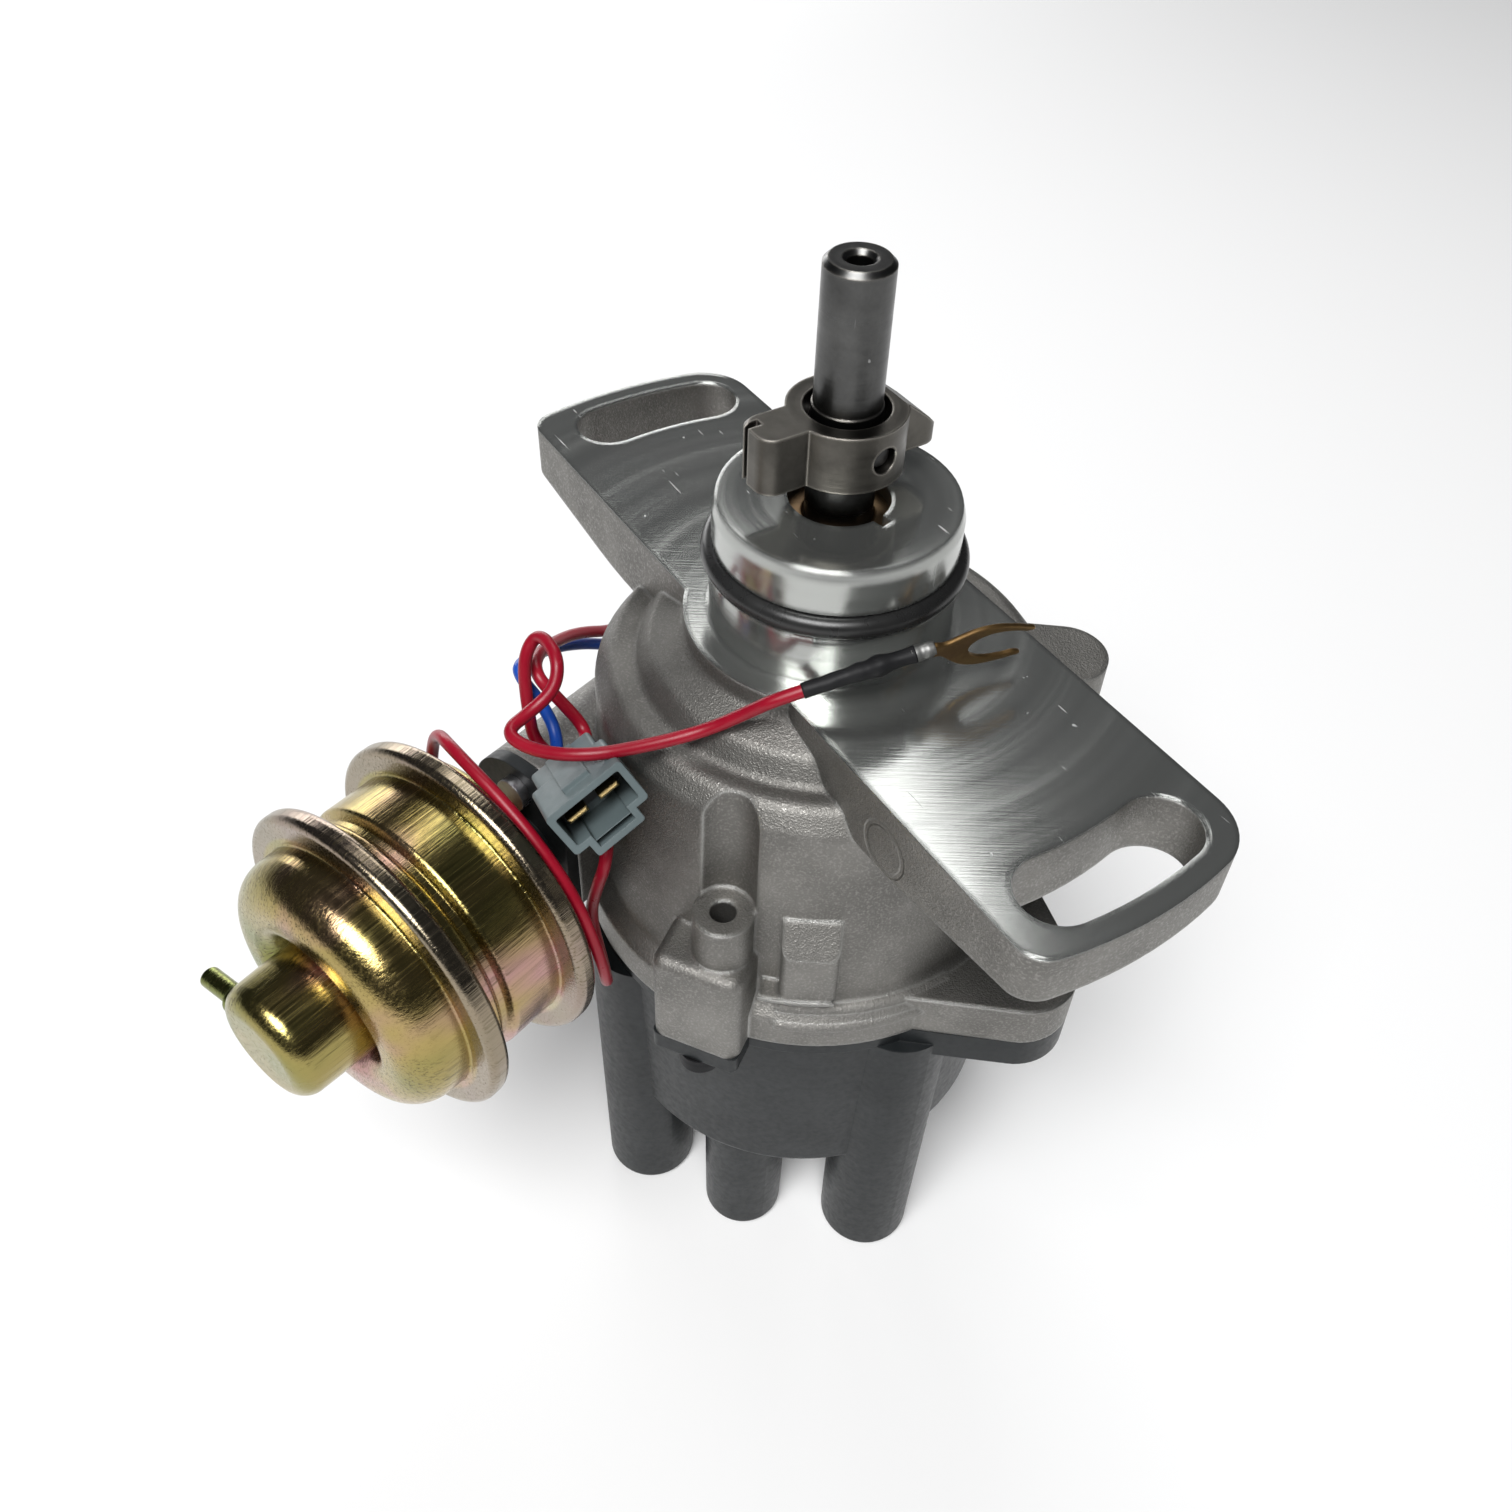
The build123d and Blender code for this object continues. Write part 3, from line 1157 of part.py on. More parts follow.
# ================================================================ cap
tower_root_z = rim_z - cap_lip_h
socket_floor_z = tower_tip_z + socket_depth
with BuildPart() as distributor_cap:
    with BuildSketch(shaft_plane):
        with BuildLine():
            FilletPolyline(
                (0, rim_z), (cap_lip_r, rim_z), (cap_lip_r, rim_z - cap_lip_h), (cap_skirt_r, rim_z - cap_lip_h),
                (cap_end_r, cap_end_z), (0, cap_end_z), radius=[0, 0, 0, 0, cap_edge_r, 0], close=True,
            )
        make_face()
    revolve(axis=Axis.Z)
    for tower_angle in tower_angles:
        with Locations(polar(tower_pitch_r, tower_angle, (tower_root_z + tower_tip_z) / 2)):
            Cone(bottom_radius=tower_tip_r, top_radius=tower_root_r, height=tower_root_z - tower_tip_z)
    with Locations(polar(coil_tower_pitch_r, coil_tower_angle, (cap_end_z + cap_edge_r + tower_tip_z) / 2)):
        Cone(bottom_radius=coil_tower_r - 0.4, top_radius=coil_tower_r, height=cap_end_z + cap_edge_r - tower_tip_z)
    fillet(edges().group_by(Axis.Z)[0], tower_edge_r)
    for ear_angle in ear_angles:
        with BuildSketch(Plane.XY.offset(rim_z)):
            with Locations(polar(ear_pitch_r, ear_angle)):
                Circle(ear_r)
            Circle(cap_skirt_r - 4)
            make_hull()
        extrude(amount=-cap_ear_t)
    with BuildSketch(Plane(origin=(0, 0, rim_z), x_dir=polar(1, screw_block_angle), z_dir=(0, 0, 1))):
        with Locations(((screw_block_reach + rim_r - 8) / 2, screw_block_mid)):
            RectangleRounded(screw_block_reach - rim_r + 8, screw_block_w, 1.2)
    extrude(amount=-cap_corner_t)
    # cavity, then the posts that stand in it
    with BuildSketch(shaft_plane):
        with BuildLine():
            FilletPolyline(
                (0, rim_z), (cap_skirt_r - cap_wall, rim_z), (cap_end_r - cap_wall, cap_floor_z), (0, cap_floor_z),
                radius=[0, 0, 1.6, 0], close=True,
            )
        make_face()
    revolve(axis=Axis.Z, mode=Mode.SUBTRACT)
    with BuildSketch(Plane.XY.offset(cap_floor_z)):
        for tower_angle in tower_angles:
            with Locations(polar(electrode_pitch_r + 0.6, tower_angle)):
                Circle(electrode_post_r)
    extrude(amount=10.0)
    with BuildSketch(Plane.XY.offset(cap_floor_z)):
        Circle(brush_post_r)
    extrude(amount=brush_post_h)
    with BuildSketch(Plane.XY.offset(cap_floor_z + brush_post_h)):
        Circle(brush_r + sliding_fit)
    extrude(amount=-brush_post_h, mode=Mode.SUBTRACT)
    # groove for the bridge strip
    with BuildSketch(Plane(origin=(0, 0, cap_floor_z), x_dir=polar(1, coil_tower_angle), z_dir=(0, 0, 1))):
        with Locations((coil_tower_pitch_r / 2, 0)):
            SlotCenterToCenter(coil_tower_pitch_r, bridge_w)
    extrude(amount=-bridge_t, mode=Mode.SUBTRACT)
    # sockets and the holes of the terminals
    with BuildSketch(Plane.XY.offset(tower_tip_z)):
        for tower_angle in tower_angles:
            with Locations(polar(tower_pitch_r, tower_angle)):
                Circle(socket_r)
        with Locations(polar(coil_tower_pitch_r, coil_tower_angle)):
            Circle(socket_r - 0.3)
    extrude(amount=socket_depth, mode=Mode.SUBTRACT)
    with BuildSketch(Plane.XY.offset(socket_floor_z)):
        for tower_angle in tower_angles:
            with Locations(polar(electrode_pitch_r, tower_angle)):
                Circle(electrode_r)
        with Locations(polar(coil_tower_pitch_r, coil_tower_angle)):
            Circle(electrode_r)
    extrude(amount=cap_floor_z + 10.0 - socket_floor_z, mode=Mode.SUBTRACT)
    # groove for the seal ring and holes for the screws
    with BuildSketch(shaft_plane):
        with Locations((seal_ring_r, rim_z)):
            Rectangle(seal_ring_section, 2 * (seal_ring_section - 0.1))
    revolve(axis=Axis.Z, mode=Mode.SUBTRACT)
    with BuildSketch(Plane.XY.offset(rim_z)):
        with Locations(cap_screw_places):
            Circle(cap_screw_r + 0.3)
    extrude(amount=-cap_ear_t - 1, mode=Mode.SUBTRACT)
distributor_cap.part.label = "distributor_cap"
export_step(distributor_cap.part, "parts/distributor_cap.step")

with BuildPart() as cap_seal:
    with BuildSketch(shaft_plane):
        with Locations((seal_ring_r, rim_z - (seal_ring_section - 0.1) / 2)):
            Rectangle(seal_ring_section - 0.1, seal_ring_section - 0.1)
    revolve(axis=Axis.Z)
cap_seal.part.label = "cap_seal"
export_step(cap_seal.part, "parts/cap_seal.step")

with BuildPart() as cap_screws:
    for screw_place, head_z in zip(cap_screw_places, (rim_z - cap_corner_t, rim_z - cap_ear_t, rim_z - cap_ear_t)):
        with BuildSketch(Plane.XY.offset(head_z)):
            with Locations(screw_place):
                Circle(cap_screw_head_r)
                RegularPolygon(1.8, 6, mode=Mode.SUBTRACT)
        extrude(amount=-cap_screw_head_t)
        with BuildSketch(Plane.XY.offset(head_z - 1.4)):
            with Locations(screw_place):
                Circle(cap_screw_r)
        extrude(amount=rim_z + 6.0 - head_z + 1.4)
cap_screws.part.label = "cap_screws"
export_step(cap_screws.part, "parts/cap_screws.step")

with BuildPart() as cap_electrodes:
    for tower_angle in tower_angles:
        with BuildSketch(Plane.XY.offset(electrode_top_z)):
            with Locations(polar(electrode_pitch_r, tower_angle)):
                Circle(electrode_r)
        extrude(amount=socket_floor_z - electrode_top_z)
cap_electrodes.part.label = "cap_electrodes"
export_step(cap_electrodes.part, "parts/cap_electrodes.step")

with BuildPart() as coil_bridge_strip:
    with BuildSketch(Plane(origin=(0, 0, cap_floor_z), x_dir=polar(1, coil_tower_angle), z_dir=(0, 0, 1))):
        with Locations((coil_tower_pitch_r / 2, 0)):
            SlotCenterToCenter(coil_tower_pitch_r, bridge_w)
    extrude(amount=-bridge_t)
    with BuildSketch(Plane.XY.offset(cap_floor_z - bridge_t)):
        with Locations(polar(coil_tower_pitch_r, coil_tower_angle)):
            Circle(electrode_r)
    extrude(amount=socket_floor_z - cap_floor_z + bridge_t)
coil_bridge_strip.part.label = "coil_bridge_strip"
export_step(coil_bridge_strip.part, "parts/coil_bridge_strip.step")

with BuildPart() as carbon_brush:
    with BuildSketch(Plane.XY.offset(brush_tip_z)):
        Circle(brush_r)
    extrude(amount=-brush_l)
    chamfer(edges().group_by(Axis.Z)[-1], 0.4)
carbon_brush.part.label = "carbon_brush"
export_step(carbon_brush.part, "parts/carbon_brush.step")

spring_foot_z = cap_floor_z + 0.3
with BuildPart() as brush_spring:
    with BuildLine() as coil_line:
        spring_l = brush_tip_z - brush_l - spring_foot_z - 0.3
        Helix(spring_l / 4, spring_l, 1.4, (0, 0, spring_foot_z))
    with BuildSketch(Plane(origin=coil_line.line @ 0, z_dir=coil_line.line % 0)):
        Circle(0.35)
    sweep(path=coil_line.line)
brush_spring.part.label = "brush_spring"
export_step(brush_spring.part, "parts/brush_spring.step")

# ================================================================ connector
plug_plane = Plane(origin=plug_mouth, x_dir=plug_x, z_dir=plug_out)
plug_stem_y = plug_h / 2 + plug_stem_h / 2
with BuildPart() as connector_housing:
    with BuildSketch(plug_plane):
        RectangleRounded(plug_w, plug_h, 0.7)
        with Locations((0, plug_stem_y - 0.5)):
            RectangleRounded(plug_stem_w, plug_stem_h + 1.0, 0.5)
    extrude(amount=-plug_front_l)
    with BuildSketch(plug_plane.offset(-plug_front_l)):
        RectangleRounded(plug_rear_w, plug_rear_h, 0.7)
    extrude(amount=-(plug_l - plug_front_l))
    with BuildSketch(plug_plane.offset(-2.5)):
        with Locations((0, -plug_h / 2)):
            Rectangle(4.6, 1.6)
    extrude(amount=-(plug_l - 4.5))
    with BuildSketch(plug_plane):
        RectangleRounded(plug_w - 2 * plug_wall, plug_h - 2 * plug_wall, 0.4)
        with Locations((0, plug_stem_y - 0.5)):
            Rectangle(plug_stem_w - 2 * plug_wall, plug_stem_h + 1.0 - 2 * plug_wall)
        with Locations((0, plug_h / 2 - plug_wall)):
            Rectangle(plug_stem_w - 2 * plug_wall, 2 * plug_wall)
    extrude(amount=-plug_mouth_depth, mode=Mode.SUBTRACT)
    with BuildSketch(plug_plane.offset(-plug_l)):
        with GridLocations(plug_wire_pitch, 0, 2, 1):
            Circle(wire_r)
    extrude(amount=3.0, mode=Mode.SUBTRACT)
    with BuildSketch(plug_plane.offset(-plug_mouth_depth)):
        with GridLocations(plug_wire_pitch, 0, 2, 1):
            Rectangle(blade_w, blade_t)
    extrude(amount=-2.0, mode=Mode.SUBTRACT)
connector_housing.part.label = "connector_housing"
export_step(connector_housing.part, "parts/connector_housing.step")

with BuildPart() as connector_terminals:
    with BuildSketch(plug_plane.offset(-plug_mouth_depth - 2.0)):
        with GridLocations(plug_wire_pitch, 0, 2, 1):
            Rectangle(blade_w, blade_t)
    extrude(amount=plug_mouth_depth)
    chamfer(edges().group_by(Axis(plug_mouth, plug_out))[-1], 0.3)
connector_terminals.part.label = "connector_terminals"
export_step(connector_terminals.part, "parts/connector_terminals.step")

# ================================================================ leads
with BuildPart() as wire_grommet:
    with BuildSketch(grommet_plane.offset(-2.8)):
        SlotOverall(grommet_w, grommet_h)
    extrude(amount=3.6)
    with BuildSketch(grommet_plane.offset(0.8)):
        SlotOverall(grommet_w + 2.4, grommet_h + 2.4)
    extrude(amount=grommet_lip)
    fillet(edges().group_by(Axis(grommet_plane.origin, grommet_plane.z_dir))[-1], 0.8)
wire_grommet.part.label = "wire_grommet"
export_step(wire_grommet.part, "parts/wire_grommet.step")

cord_start = grommet_plane.offset(0.8 + grommet_lip)
cord_out = grommet_plane.z_dir
fork_exit = cord_start.from_local_coords(Vector(wire_spacing, 0, 0))
red_exit = cord_start.origin
blue_exit = cord_start.from_local_coords(Vector(-wire_spacing, 0, 0))
red_end = plug_plane.from_local_coords(Vector(-plug_wire_pitch / 2, 0, 3.0 - plug_l))
blue_end = plug_plane.from_local_coords(Vector(plug_wire_pitch / 2, 0, 3.0 - plug_l))

# earth lead: past the can boss, round the rear rim, back under the connector, one loop, over the shoulder
fork_wire_points = [
    fork_exit,
    fork_exit + cord_out * 5,
    Vector(-50.5, -6.0, -49.0),
    Vector(-41.8, -22.5, -55.0),
    Vector(-34.9, -47.6, -58.0),
    Vector(-33.0, -58.1, -48.0),
    Vector(-27.8, -57.7, -31.0),
    Vector(-24.4, -56.8, -18.8),
    Vector(-14.8, -57.3, -14.7),
    Vector(-1.1, -53.8, -18.4),
    Vector(8.6, -50.5, -27.3),
    Vector(13.2, -48.8, -39.2),
    Vector(12.5, -47.4, -50.0),
    Vector(6.6, -45.2, -53.0),
    Vector(2.6, -45.2, -43.5),
    Vector(5.0, -44.4, -34.0),
    Vector(6.8, -43.7, -28.0),
    Vector(3.4, -41.2, -24.6),
    Vector(-4.4, -38.5, -25.4),
    Vector(-9.5, -39.6, -24.5),
    Vector(-14.8, -44.3, -20.5),
    Vector(-15.0, -44.7, -12.4),
    Vector(-17.9, -43.4, -5.0),
    Vector(-18.5, -40.2, -1.5),
    Vector(-11.6, -40.3, -1.0),
    Vector(-8.9, -42.3, -4.5),
    Vector(-8.8, -46.6, -7.0),
    Vector(-7.2, -51.9, -7.5),
    Vector(-1.4, -49.6, -7.5),
    Vector(4.6, -44.1, -5.9),
    Vector(6.9, -35.6, -6.1),
    Vector(9.6, -27.9, -4.8),
    Vector(13.3, -22.8, -0.4),
    Vector(16.4, -20.35, 3.5),
    fork_wire_end,
]
red_wire_points = [
    red_exit,
    red_exit + cord_out * 5,
    Vector(-47.5, -6.0, -34.0),
    Vector(-36.0, -19.4, -23.5),
    Vector(-32.2, -27.2, -17.5),
    Vector(-27.4, -33.7, -13.0),
    Vector(-21.2, -39.9, -8.5),
    Vector(-16.9, -42.0, -8.5),
    Vector(-14.2, -39.9, -12.0),
    Vector(-10.8, -36.9, -17.6),
    red_end - plug_out * 5.2,
    red_end,
]
blue_wire_points = [
    blue_exit,
    blue_exit + cord_out * 8.5,
    Vector(-49.5, -8.0, -38.5),
    Vector(-36.9, -19.1, -27.5),
    Vector(-34.4, -26.3, -22.0),
    Vector(-29.6, -34.3, -16.0),
    Vector(-22.4, -42.7, -10.0),
    Vector(-19.5, -43.3, -10.8),
    Vector(-16.5, -41.7, -14.0),
    Vector(-12.4, -41.2, -18.0),
    blue_end - plug_out * 5.2,
    blue_end,
]
for cord_name, cord_points in (
    ("fork_wire", fork_wire_points),
    ("signal_wire_red", red_wire_points),
    ("signal_wire_blue", blue_wire_points),
):
    cord_radii = bend_radii(cord_points)
    with BuildPart() as cord:
        with BuildLine() as cord_line:
            FilletPolyline(*cord_points, radius=cord_radii)
        with BuildSketch(Plane(origin=cord_line.line @ 0, z_dir=cord_line.line % 0)):
            Circle(wire_r)
        sweep(path=cord_line.line)
    cord_l = sum(edge.length for edge in cord_line.edges())
    print(cord_name, "bends", [round(bend, 1) for bend in cord_radii], "length", round(cord_l, 1))
    print(cord_name, "volume", cord.part.volume, "section by length", pi * wire_r**2 * cord_l)
    cord.part.label = cord_name
    export_step(cord.part, "parts/" + cord_name + ".step")

sleeve_way = (fork_wire_end - fork_wire_points[-2]).normalized()
sleeve_plane = Plane(origin=fork_wire_end - sleeve_way * sleeve_tube_l, z_dir=sleeve_way)
with BuildPart() as heat_shrink:
    with BuildSketch(sleeve_plane):
        Circle(sleeve_tube_r)
        Circle(wire_r + 0.02, mode=Mode.SUBTRACT)
    extrude(amount=sleeve_tube_l)
    fillet(edges().filter_by(GeomType.CIRCLE).group_by(SortBy.LENGTH)[-1], 0.25)
heat_shrink.part.label = "heat_shrink"
export_step(heat_shrink.part, "parts/heat_shrink.step")

barrel_l = 2.6
fork_plane = Plane(origin=fork_wire_end + sleeve_way * (barrel_l - 1.4), x_dir=fork_way, z_dir=fork_way.cross(fork_up))
with BuildPart() as fork_terminal:
    with BuildSketch(fork_plane.offset(-fork_t / 2)):
        with BuildLine():
            Polyline(
                (0.4, -1.2), (3.0, -1.3), (6.5, -3.9), (11.0, -4.5), (fork_l, -3.2), (fork_l + 0.6, -2.4),
                (11.5, -2.6), (8.0, -1.2), (7.0, 0), (8.0, 1.2), (11.5, 2.6), (fork_l + 0.6, 2.4),
                (fork_l, 3.2), (11.0, 4.5), (6.5, 3.9), (3.0, 1.3), (0.4, 1.2), close=True,
            )
        make_face()
    extrude(amount=fork_t)
    fillet(edges().filter_by(Axis((0, 0, 0), fork_plane.z_dir)), 0.25)
    with BuildSketch(Plane(origin=fork_wire_end, z_dir=sleeve_way)):
        Circle(barrel_r)
    extrude(amount=barrel_l)
fork_terminal.part.label = "fork_terminal"
export_step(fork_terminal.part, "parts/fork_terminal.step")
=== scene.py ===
"""Ignition distributor: finishes, leads, springs and studio for the packed model."""
import math

import bmesh
import bpy
from mathutils import Matrix, Vector
from mathutils.noise import noise as lump_noise


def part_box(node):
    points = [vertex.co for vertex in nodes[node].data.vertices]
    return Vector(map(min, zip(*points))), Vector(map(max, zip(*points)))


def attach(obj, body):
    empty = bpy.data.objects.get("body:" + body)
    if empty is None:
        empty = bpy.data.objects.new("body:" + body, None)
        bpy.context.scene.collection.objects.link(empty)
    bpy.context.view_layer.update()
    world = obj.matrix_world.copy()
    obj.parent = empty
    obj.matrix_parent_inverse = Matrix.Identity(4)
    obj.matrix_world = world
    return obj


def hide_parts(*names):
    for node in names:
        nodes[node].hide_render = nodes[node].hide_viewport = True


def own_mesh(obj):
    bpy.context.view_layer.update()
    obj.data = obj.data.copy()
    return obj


bl_info = {
    "name": "Ignition Distributor",
    "version": (1, 0, 0),
    "blender": (4, 5, 0),
    "location": "View3D > Sidebar > Distributor",
    "description": "Dresses an ignition distributor with its finishes, leads and studio",
    "category": "Object",
}

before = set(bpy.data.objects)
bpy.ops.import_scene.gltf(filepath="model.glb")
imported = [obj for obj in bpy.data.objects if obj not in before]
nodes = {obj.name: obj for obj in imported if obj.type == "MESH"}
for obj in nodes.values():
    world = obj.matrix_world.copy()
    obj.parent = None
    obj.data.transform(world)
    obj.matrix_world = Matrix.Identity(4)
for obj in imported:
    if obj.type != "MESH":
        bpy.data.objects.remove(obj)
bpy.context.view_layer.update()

# --- places and sizes
# In metres
MM = 0.001
FLOOR_Z = -0.137
CAN_RIM_RADII = (0.0237, 0.0243)  # the can's wall to the first, its crimped rims from the second
FLANGE_FACE_Z = (-0.00035, -0.00005)  # blasted skin up to the first, bare metal from the second
SPIGOT_FOOT_RADII = (0.0188, 0.0190)  # lathe rings to the first, the flange's straight lay from the second
SLEEVE_LENGTH = 0.0164
GOVERNOR_PIN_X = 0.018  # a governor spring's end on the advance plate's pin
GOVERNOR_POST = (0.0175, -0.0125)  # the same spring's end on the governor plate's post
CAMERA_PLACE = (0.130585, -0.101073, 0.135411)
SENSOR_WIDTH_MM = 36.0

# In radians
QUARTER_TURN = math.pi / 2
CAN_AXIS_TURN = -1.24616  # heading of the can's axis about Z
FLANGE_LAY_TURN = math.radians(-57.0)  # heading of the straight lay on the flange
WINDOW_BOX_TURN = math.radians(-16.4)

# In millimetres
CAN_FOOT = Vector((-28.244, -9.505, -42.0))  # start of the can's axis, on the advance pin
EJECTOR_PLACE = Vector((38.8, -17.1, -8.0))
EJECTOR_RADIUS = 4.1
EJECTOR_LINE = (0.25, 0.55)  # full depth to the first, gone at the second
FORK_END = Vector((22.9, -2.05, 8.5))  # where the earth lead ends in the fork's barrel
SLEEVE_FOOT = Vector((16.4, -20.35, 3.5))  # last bend of the earth lead
SLEEVE_WAY = FORK_END - SLEEVE_FOOT
FORK_WAY = Vector((3.1, 18.15, -3.1))
FORK_UP = Vector((0.247, 0.12, 0.945))
FORK_ROOT = 1.2  # how far past the lead's end the flat fork starts
FORK_CORE = 0.08  # half the flat part of its thickness
FORK_EDGE = 0.34  # round of the stamped edge
FORK_DISH = 0.10  # bend out of the flat, 4 mm from its middle
BARREL_RADIUS = 1.22
BARREL_START = -0.6
BARREL_LENGTH = 3.4
SLEEVE_RADIUS = 1.17
GROMMET_FACE = Vector((-39.786, 7.015, -42.0))
GROMMET_OUT = Vector((-0.984808, 0.173648, 0.0))
GROMMET_SIDE = Vector((-0.173648, -0.984808, 0.0))
WIRE_SPACING = 4.2
PLUG_MOUTH = Vector((9.75, -45.65, -11.2))
PLUG_OUT = Vector((0.905, -0.173, 0.390))
PLUG_SIDE = Vector((0.009, -0.906, -0.424))
PLUG_PITCH = 5.6
PLUG_DEPTH = 12.5
SOCKET_DEPTHS = (1.0, 4.5)  # no painted shade at the first, full painted shade at the second
SOCKET_HALF_WIDTHS = (5.5, 5.8)  # painted shade up to the first, none past the second
SOCKET_HALF_HEIGHTS = (2.6, 2.9)
STRAIGHT_OUT = 5.0  # of the earth and red leads, out of the grommet
BLUE_STRAIGHT_OUT = 8.5
STRAIGHT_IN = 5.2  # of a signal lead, into the plug

# One half of the fork, as distance along it and distance from its middle
FORK_HALF = (
    (1.0, 1.15), (3.0, 1.35), (5.0, 2.55), (7.2, 3.75), (10.0, 4.25), (13.2, 3.95), (15.8, 3.35), (17.2, 2.75),
    (16.6, 2.35), (14.0, 2.65), (11.2, 2.72), (9.2, 2.2), (7.9, 1.25),
)
FORK_CROTCH = (7.4, 0.0)

# Points that each lead passes between its exit and its end
EARTH_LEAD_ROUTE = (
    (-50.5, -6.0, -49.0), (-41.8, -22.5, -55.0), (-34.9, -47.6, -58.0), (-33.0, -58.1, -48.0),
    (-27.8, -57.7, -31.0), (-24.4, -56.8, -18.8), (-14.8, -57.3, -14.7), (-1.1, -53.8, -18.4),
    (8.6, -50.5, -27.3), (13.2, -48.8, -39.2), (12.5, -47.4, -50.0), (6.6, -45.2, -53.0),
    (2.6, -45.2, -43.5), (5.0, -44.4, -34.0), (6.8, -43.7, -28.0), (3.4, -41.2, -24.6),
    (-4.4, -38.5, -25.4), (-9.5, -39.6, -24.5), (-14.8, -44.3, -20.5), (-15.0, -44.7, -12.4),
    (-17.9, -43.4, -5.0), (-18.5, -40.2, -1.5), (-11.6, -40.3, -1.0), (-8.9, -42.3, -4.5),
    (-8.8, -46.6, -7.0), (-7.2, -51.9, -7.5), (-1.4, -49.6, -7.5), (4.6, -44.1, -5.9),
    (6.9, -35.6, -6.1), (9.6, -27.9, -4.8), (13.3, -22.8, -0.4), SLEEVE_FOOT, FORK_END,
)
RED_LEAD_ROUTE = (
    (-47.5, -6.0, -34.0), (-36.0, -19.4, -23.5), (-32.2, -27.2, -17.5), (-27.4, -33.7, -13.0),
    (-21.2, -39.9, -8.5), (-16.9, -42.0, -8.5), (-14.2, -39.9, -12.0), (-10.8, -36.9, -17.6),
)
BLUE_LEAD_ROUTE = (
    (-49.5, -8.0, -38.5), (-36.9, -19.1, -27.5), (-34.4, -26.3, -22.0), (-29.6, -34.3, -16.0),
    (-22.4, -42.7, -10.0), (-19.5, -43.3, -10.8), (-16.5, -41.7, -14.0), (-12.4, -41.2, -18.0),
)

# The camera's own axes, and the soft boxes in metres
CAMERA_RIGHT = Vector((0.53513, 0.84420, 0.03093))
CAMERA_UP = Vector((-0.61673, 0.36540, 0.69723))
KEY_BOX = {"place": (0.75, -0.95, 1.9), "size": (1.3, 1.1), "target": (0.0, 0.0, 0.0)}
WINDOW_BOX = {"place": (-0.314, 0.174, 0.45), "size": (0.30, 0.25), "target": (-0.314, 0.174, 0.0)}
RIM_BOX = {"place": (-1.1, 0.25, 0.10), "size": (0.9, 0.3), "target": (0.0, 0.0, 0.0)}
RIM_SHARE = 0.06  # power of the rim light as a share of the key light's

# --- colours
PAPER = (0.93, 0.93, 0.93)
ROOM_SKY = (0.90, 0.94, 1.0)
# Casting edges: part worn metal, part painted highlight
CAST_EDGE_WEAR_AND_HIGHLIGHT = (0.62, 0.62, 0.60)
FRESH_SCRATCH = (0.95, 0.96, 0.96)
MACHINED_STAIN = (0.50, 0.52, 0.51)
STEEL_SCRATCH = (0.8, 0.8, 0.8)
# Steel edges: part bare wear, part painted highlight
STEEL_EDGE_WEAR_AND_HIGHLIGHT = (0.50, 0.47, 0.42)
ZINC_OLIVE = (0.19, 0.22, 0.06)
ZINC_PINK = (0.47, 0.27, 0.25)
ZINC_SAND = (0.50, 0.42, 0.28)
ZINC_GREEN = (0.33, 0.38, 0.12)
ZINC_RIM = (0.30, 0.25, 0.20)
ZINC_STREAK = (0.12, 0.10, 0.04)
SOCKET_SHADE = (0.004, 0.004, 0.004)


# --- settings
def colour_setting(name, description, default):
    """A colour that the user can change."""
    return bpy.props.FloatVectorProperty(
        name=name, description=description, default=default, min=0.0, max=1.0, subtype="COLOR",
    )


class DistributorLeadSettings(bpy.types.PropertyGroup):
    """Sizes and colours of the leads"""

    diameter: bpy.props.FloatProperty(
        name="Lead Diameter", description="Outside diameter of each insulated wire",
        default=0.002, min=0.0005, max=0.01, unit="LENGTH",
    )
    red: colour_setting("Red Insulation", "Colour of the red insulation", (0.26, 0.0015, 0.014))
    blue: colour_setting("Blue Insulation", "Colour of the blue insulation", (0.006, 0.055, 0.33))


class DistributorFinishSettings(bpy.types.PropertyGroup):
    """Colours and textures of the metal and plastic parts"""

    casting: colour_setting("Casting", "Colour of the blasted casting", (0.27, 0.262, 0.245))
    machined: colour_setting("Machined Metal", "Colour of the machined faces", (0.47, 0.48, 0.46))
    zinc: colour_setting("Yellow Zinc", "Main colour of the passivated can", (0.42, 0.32, 0.12))
    grain_size: bpy.props.FloatProperty(
        name="Casting Grain", description="Size of the grain left by blasting",
        default=0.00042, min=0.0001, max=0.005, unit="LENGTH",
    )


class DistributorStageSettings(bpy.types.PropertyGroup):
    """Floor, lights and camera"""

    floor_size: bpy.props.FloatProperty(
        name="Floor Size", description="Edge length of the square floor",
        default=8.0, min=1.0, max=40.0, unit="LENGTH",
    )
    key_power: bpy.props.FloatProperty(
        name="Key Light", description="Power of the large overhead soft box",
        default=64.0, min=0.0, max=1000.0, unit="POWER",
    )
    window_power: bpy.props.FloatProperty(
        name="Window Light", description="Power of the soft box that the machined faces mirror",
        default=0.75, min=0.0, max=100.0, unit="POWER",
    )
    room_light: bpy.props.FloatProperty(
        name="Room Light", description="Brightness of the dim room around the object",
        default=0.045, min=0.0, max=5.0,
    )
    lens: bpy.props.FloatProperty(
        name="Lens", description="Focal length of the camera",
        default=33.06, min=10.0, max=200.0, unit="CAMERA",
    )


# --- helpers
def new_object(name, data):
    """Put data into the scene as an object at the origin."""
    thing = bpy.data.objects.new(name, data)
    bpy.context.scene.collection.objects.link(thing)
    return thing


def new_group(name, **inputs):
    """Start a shader node group. An input of None is a vector, and any other is a number."""
    group = bpy.data.node_groups.new(name, "ShaderNodeTree")
    for label, value in inputs.items():
        kind = "NodeSocketVector" if value is None else "NodeSocketFloat"
        socket = group.interface.new_socket(label.replace("_", " "), in_out="INPUT", socket_type=kind)
        if value is not None:
            socket.default_value = value
    return group, group.nodes.new("NodeGroupInput").outputs


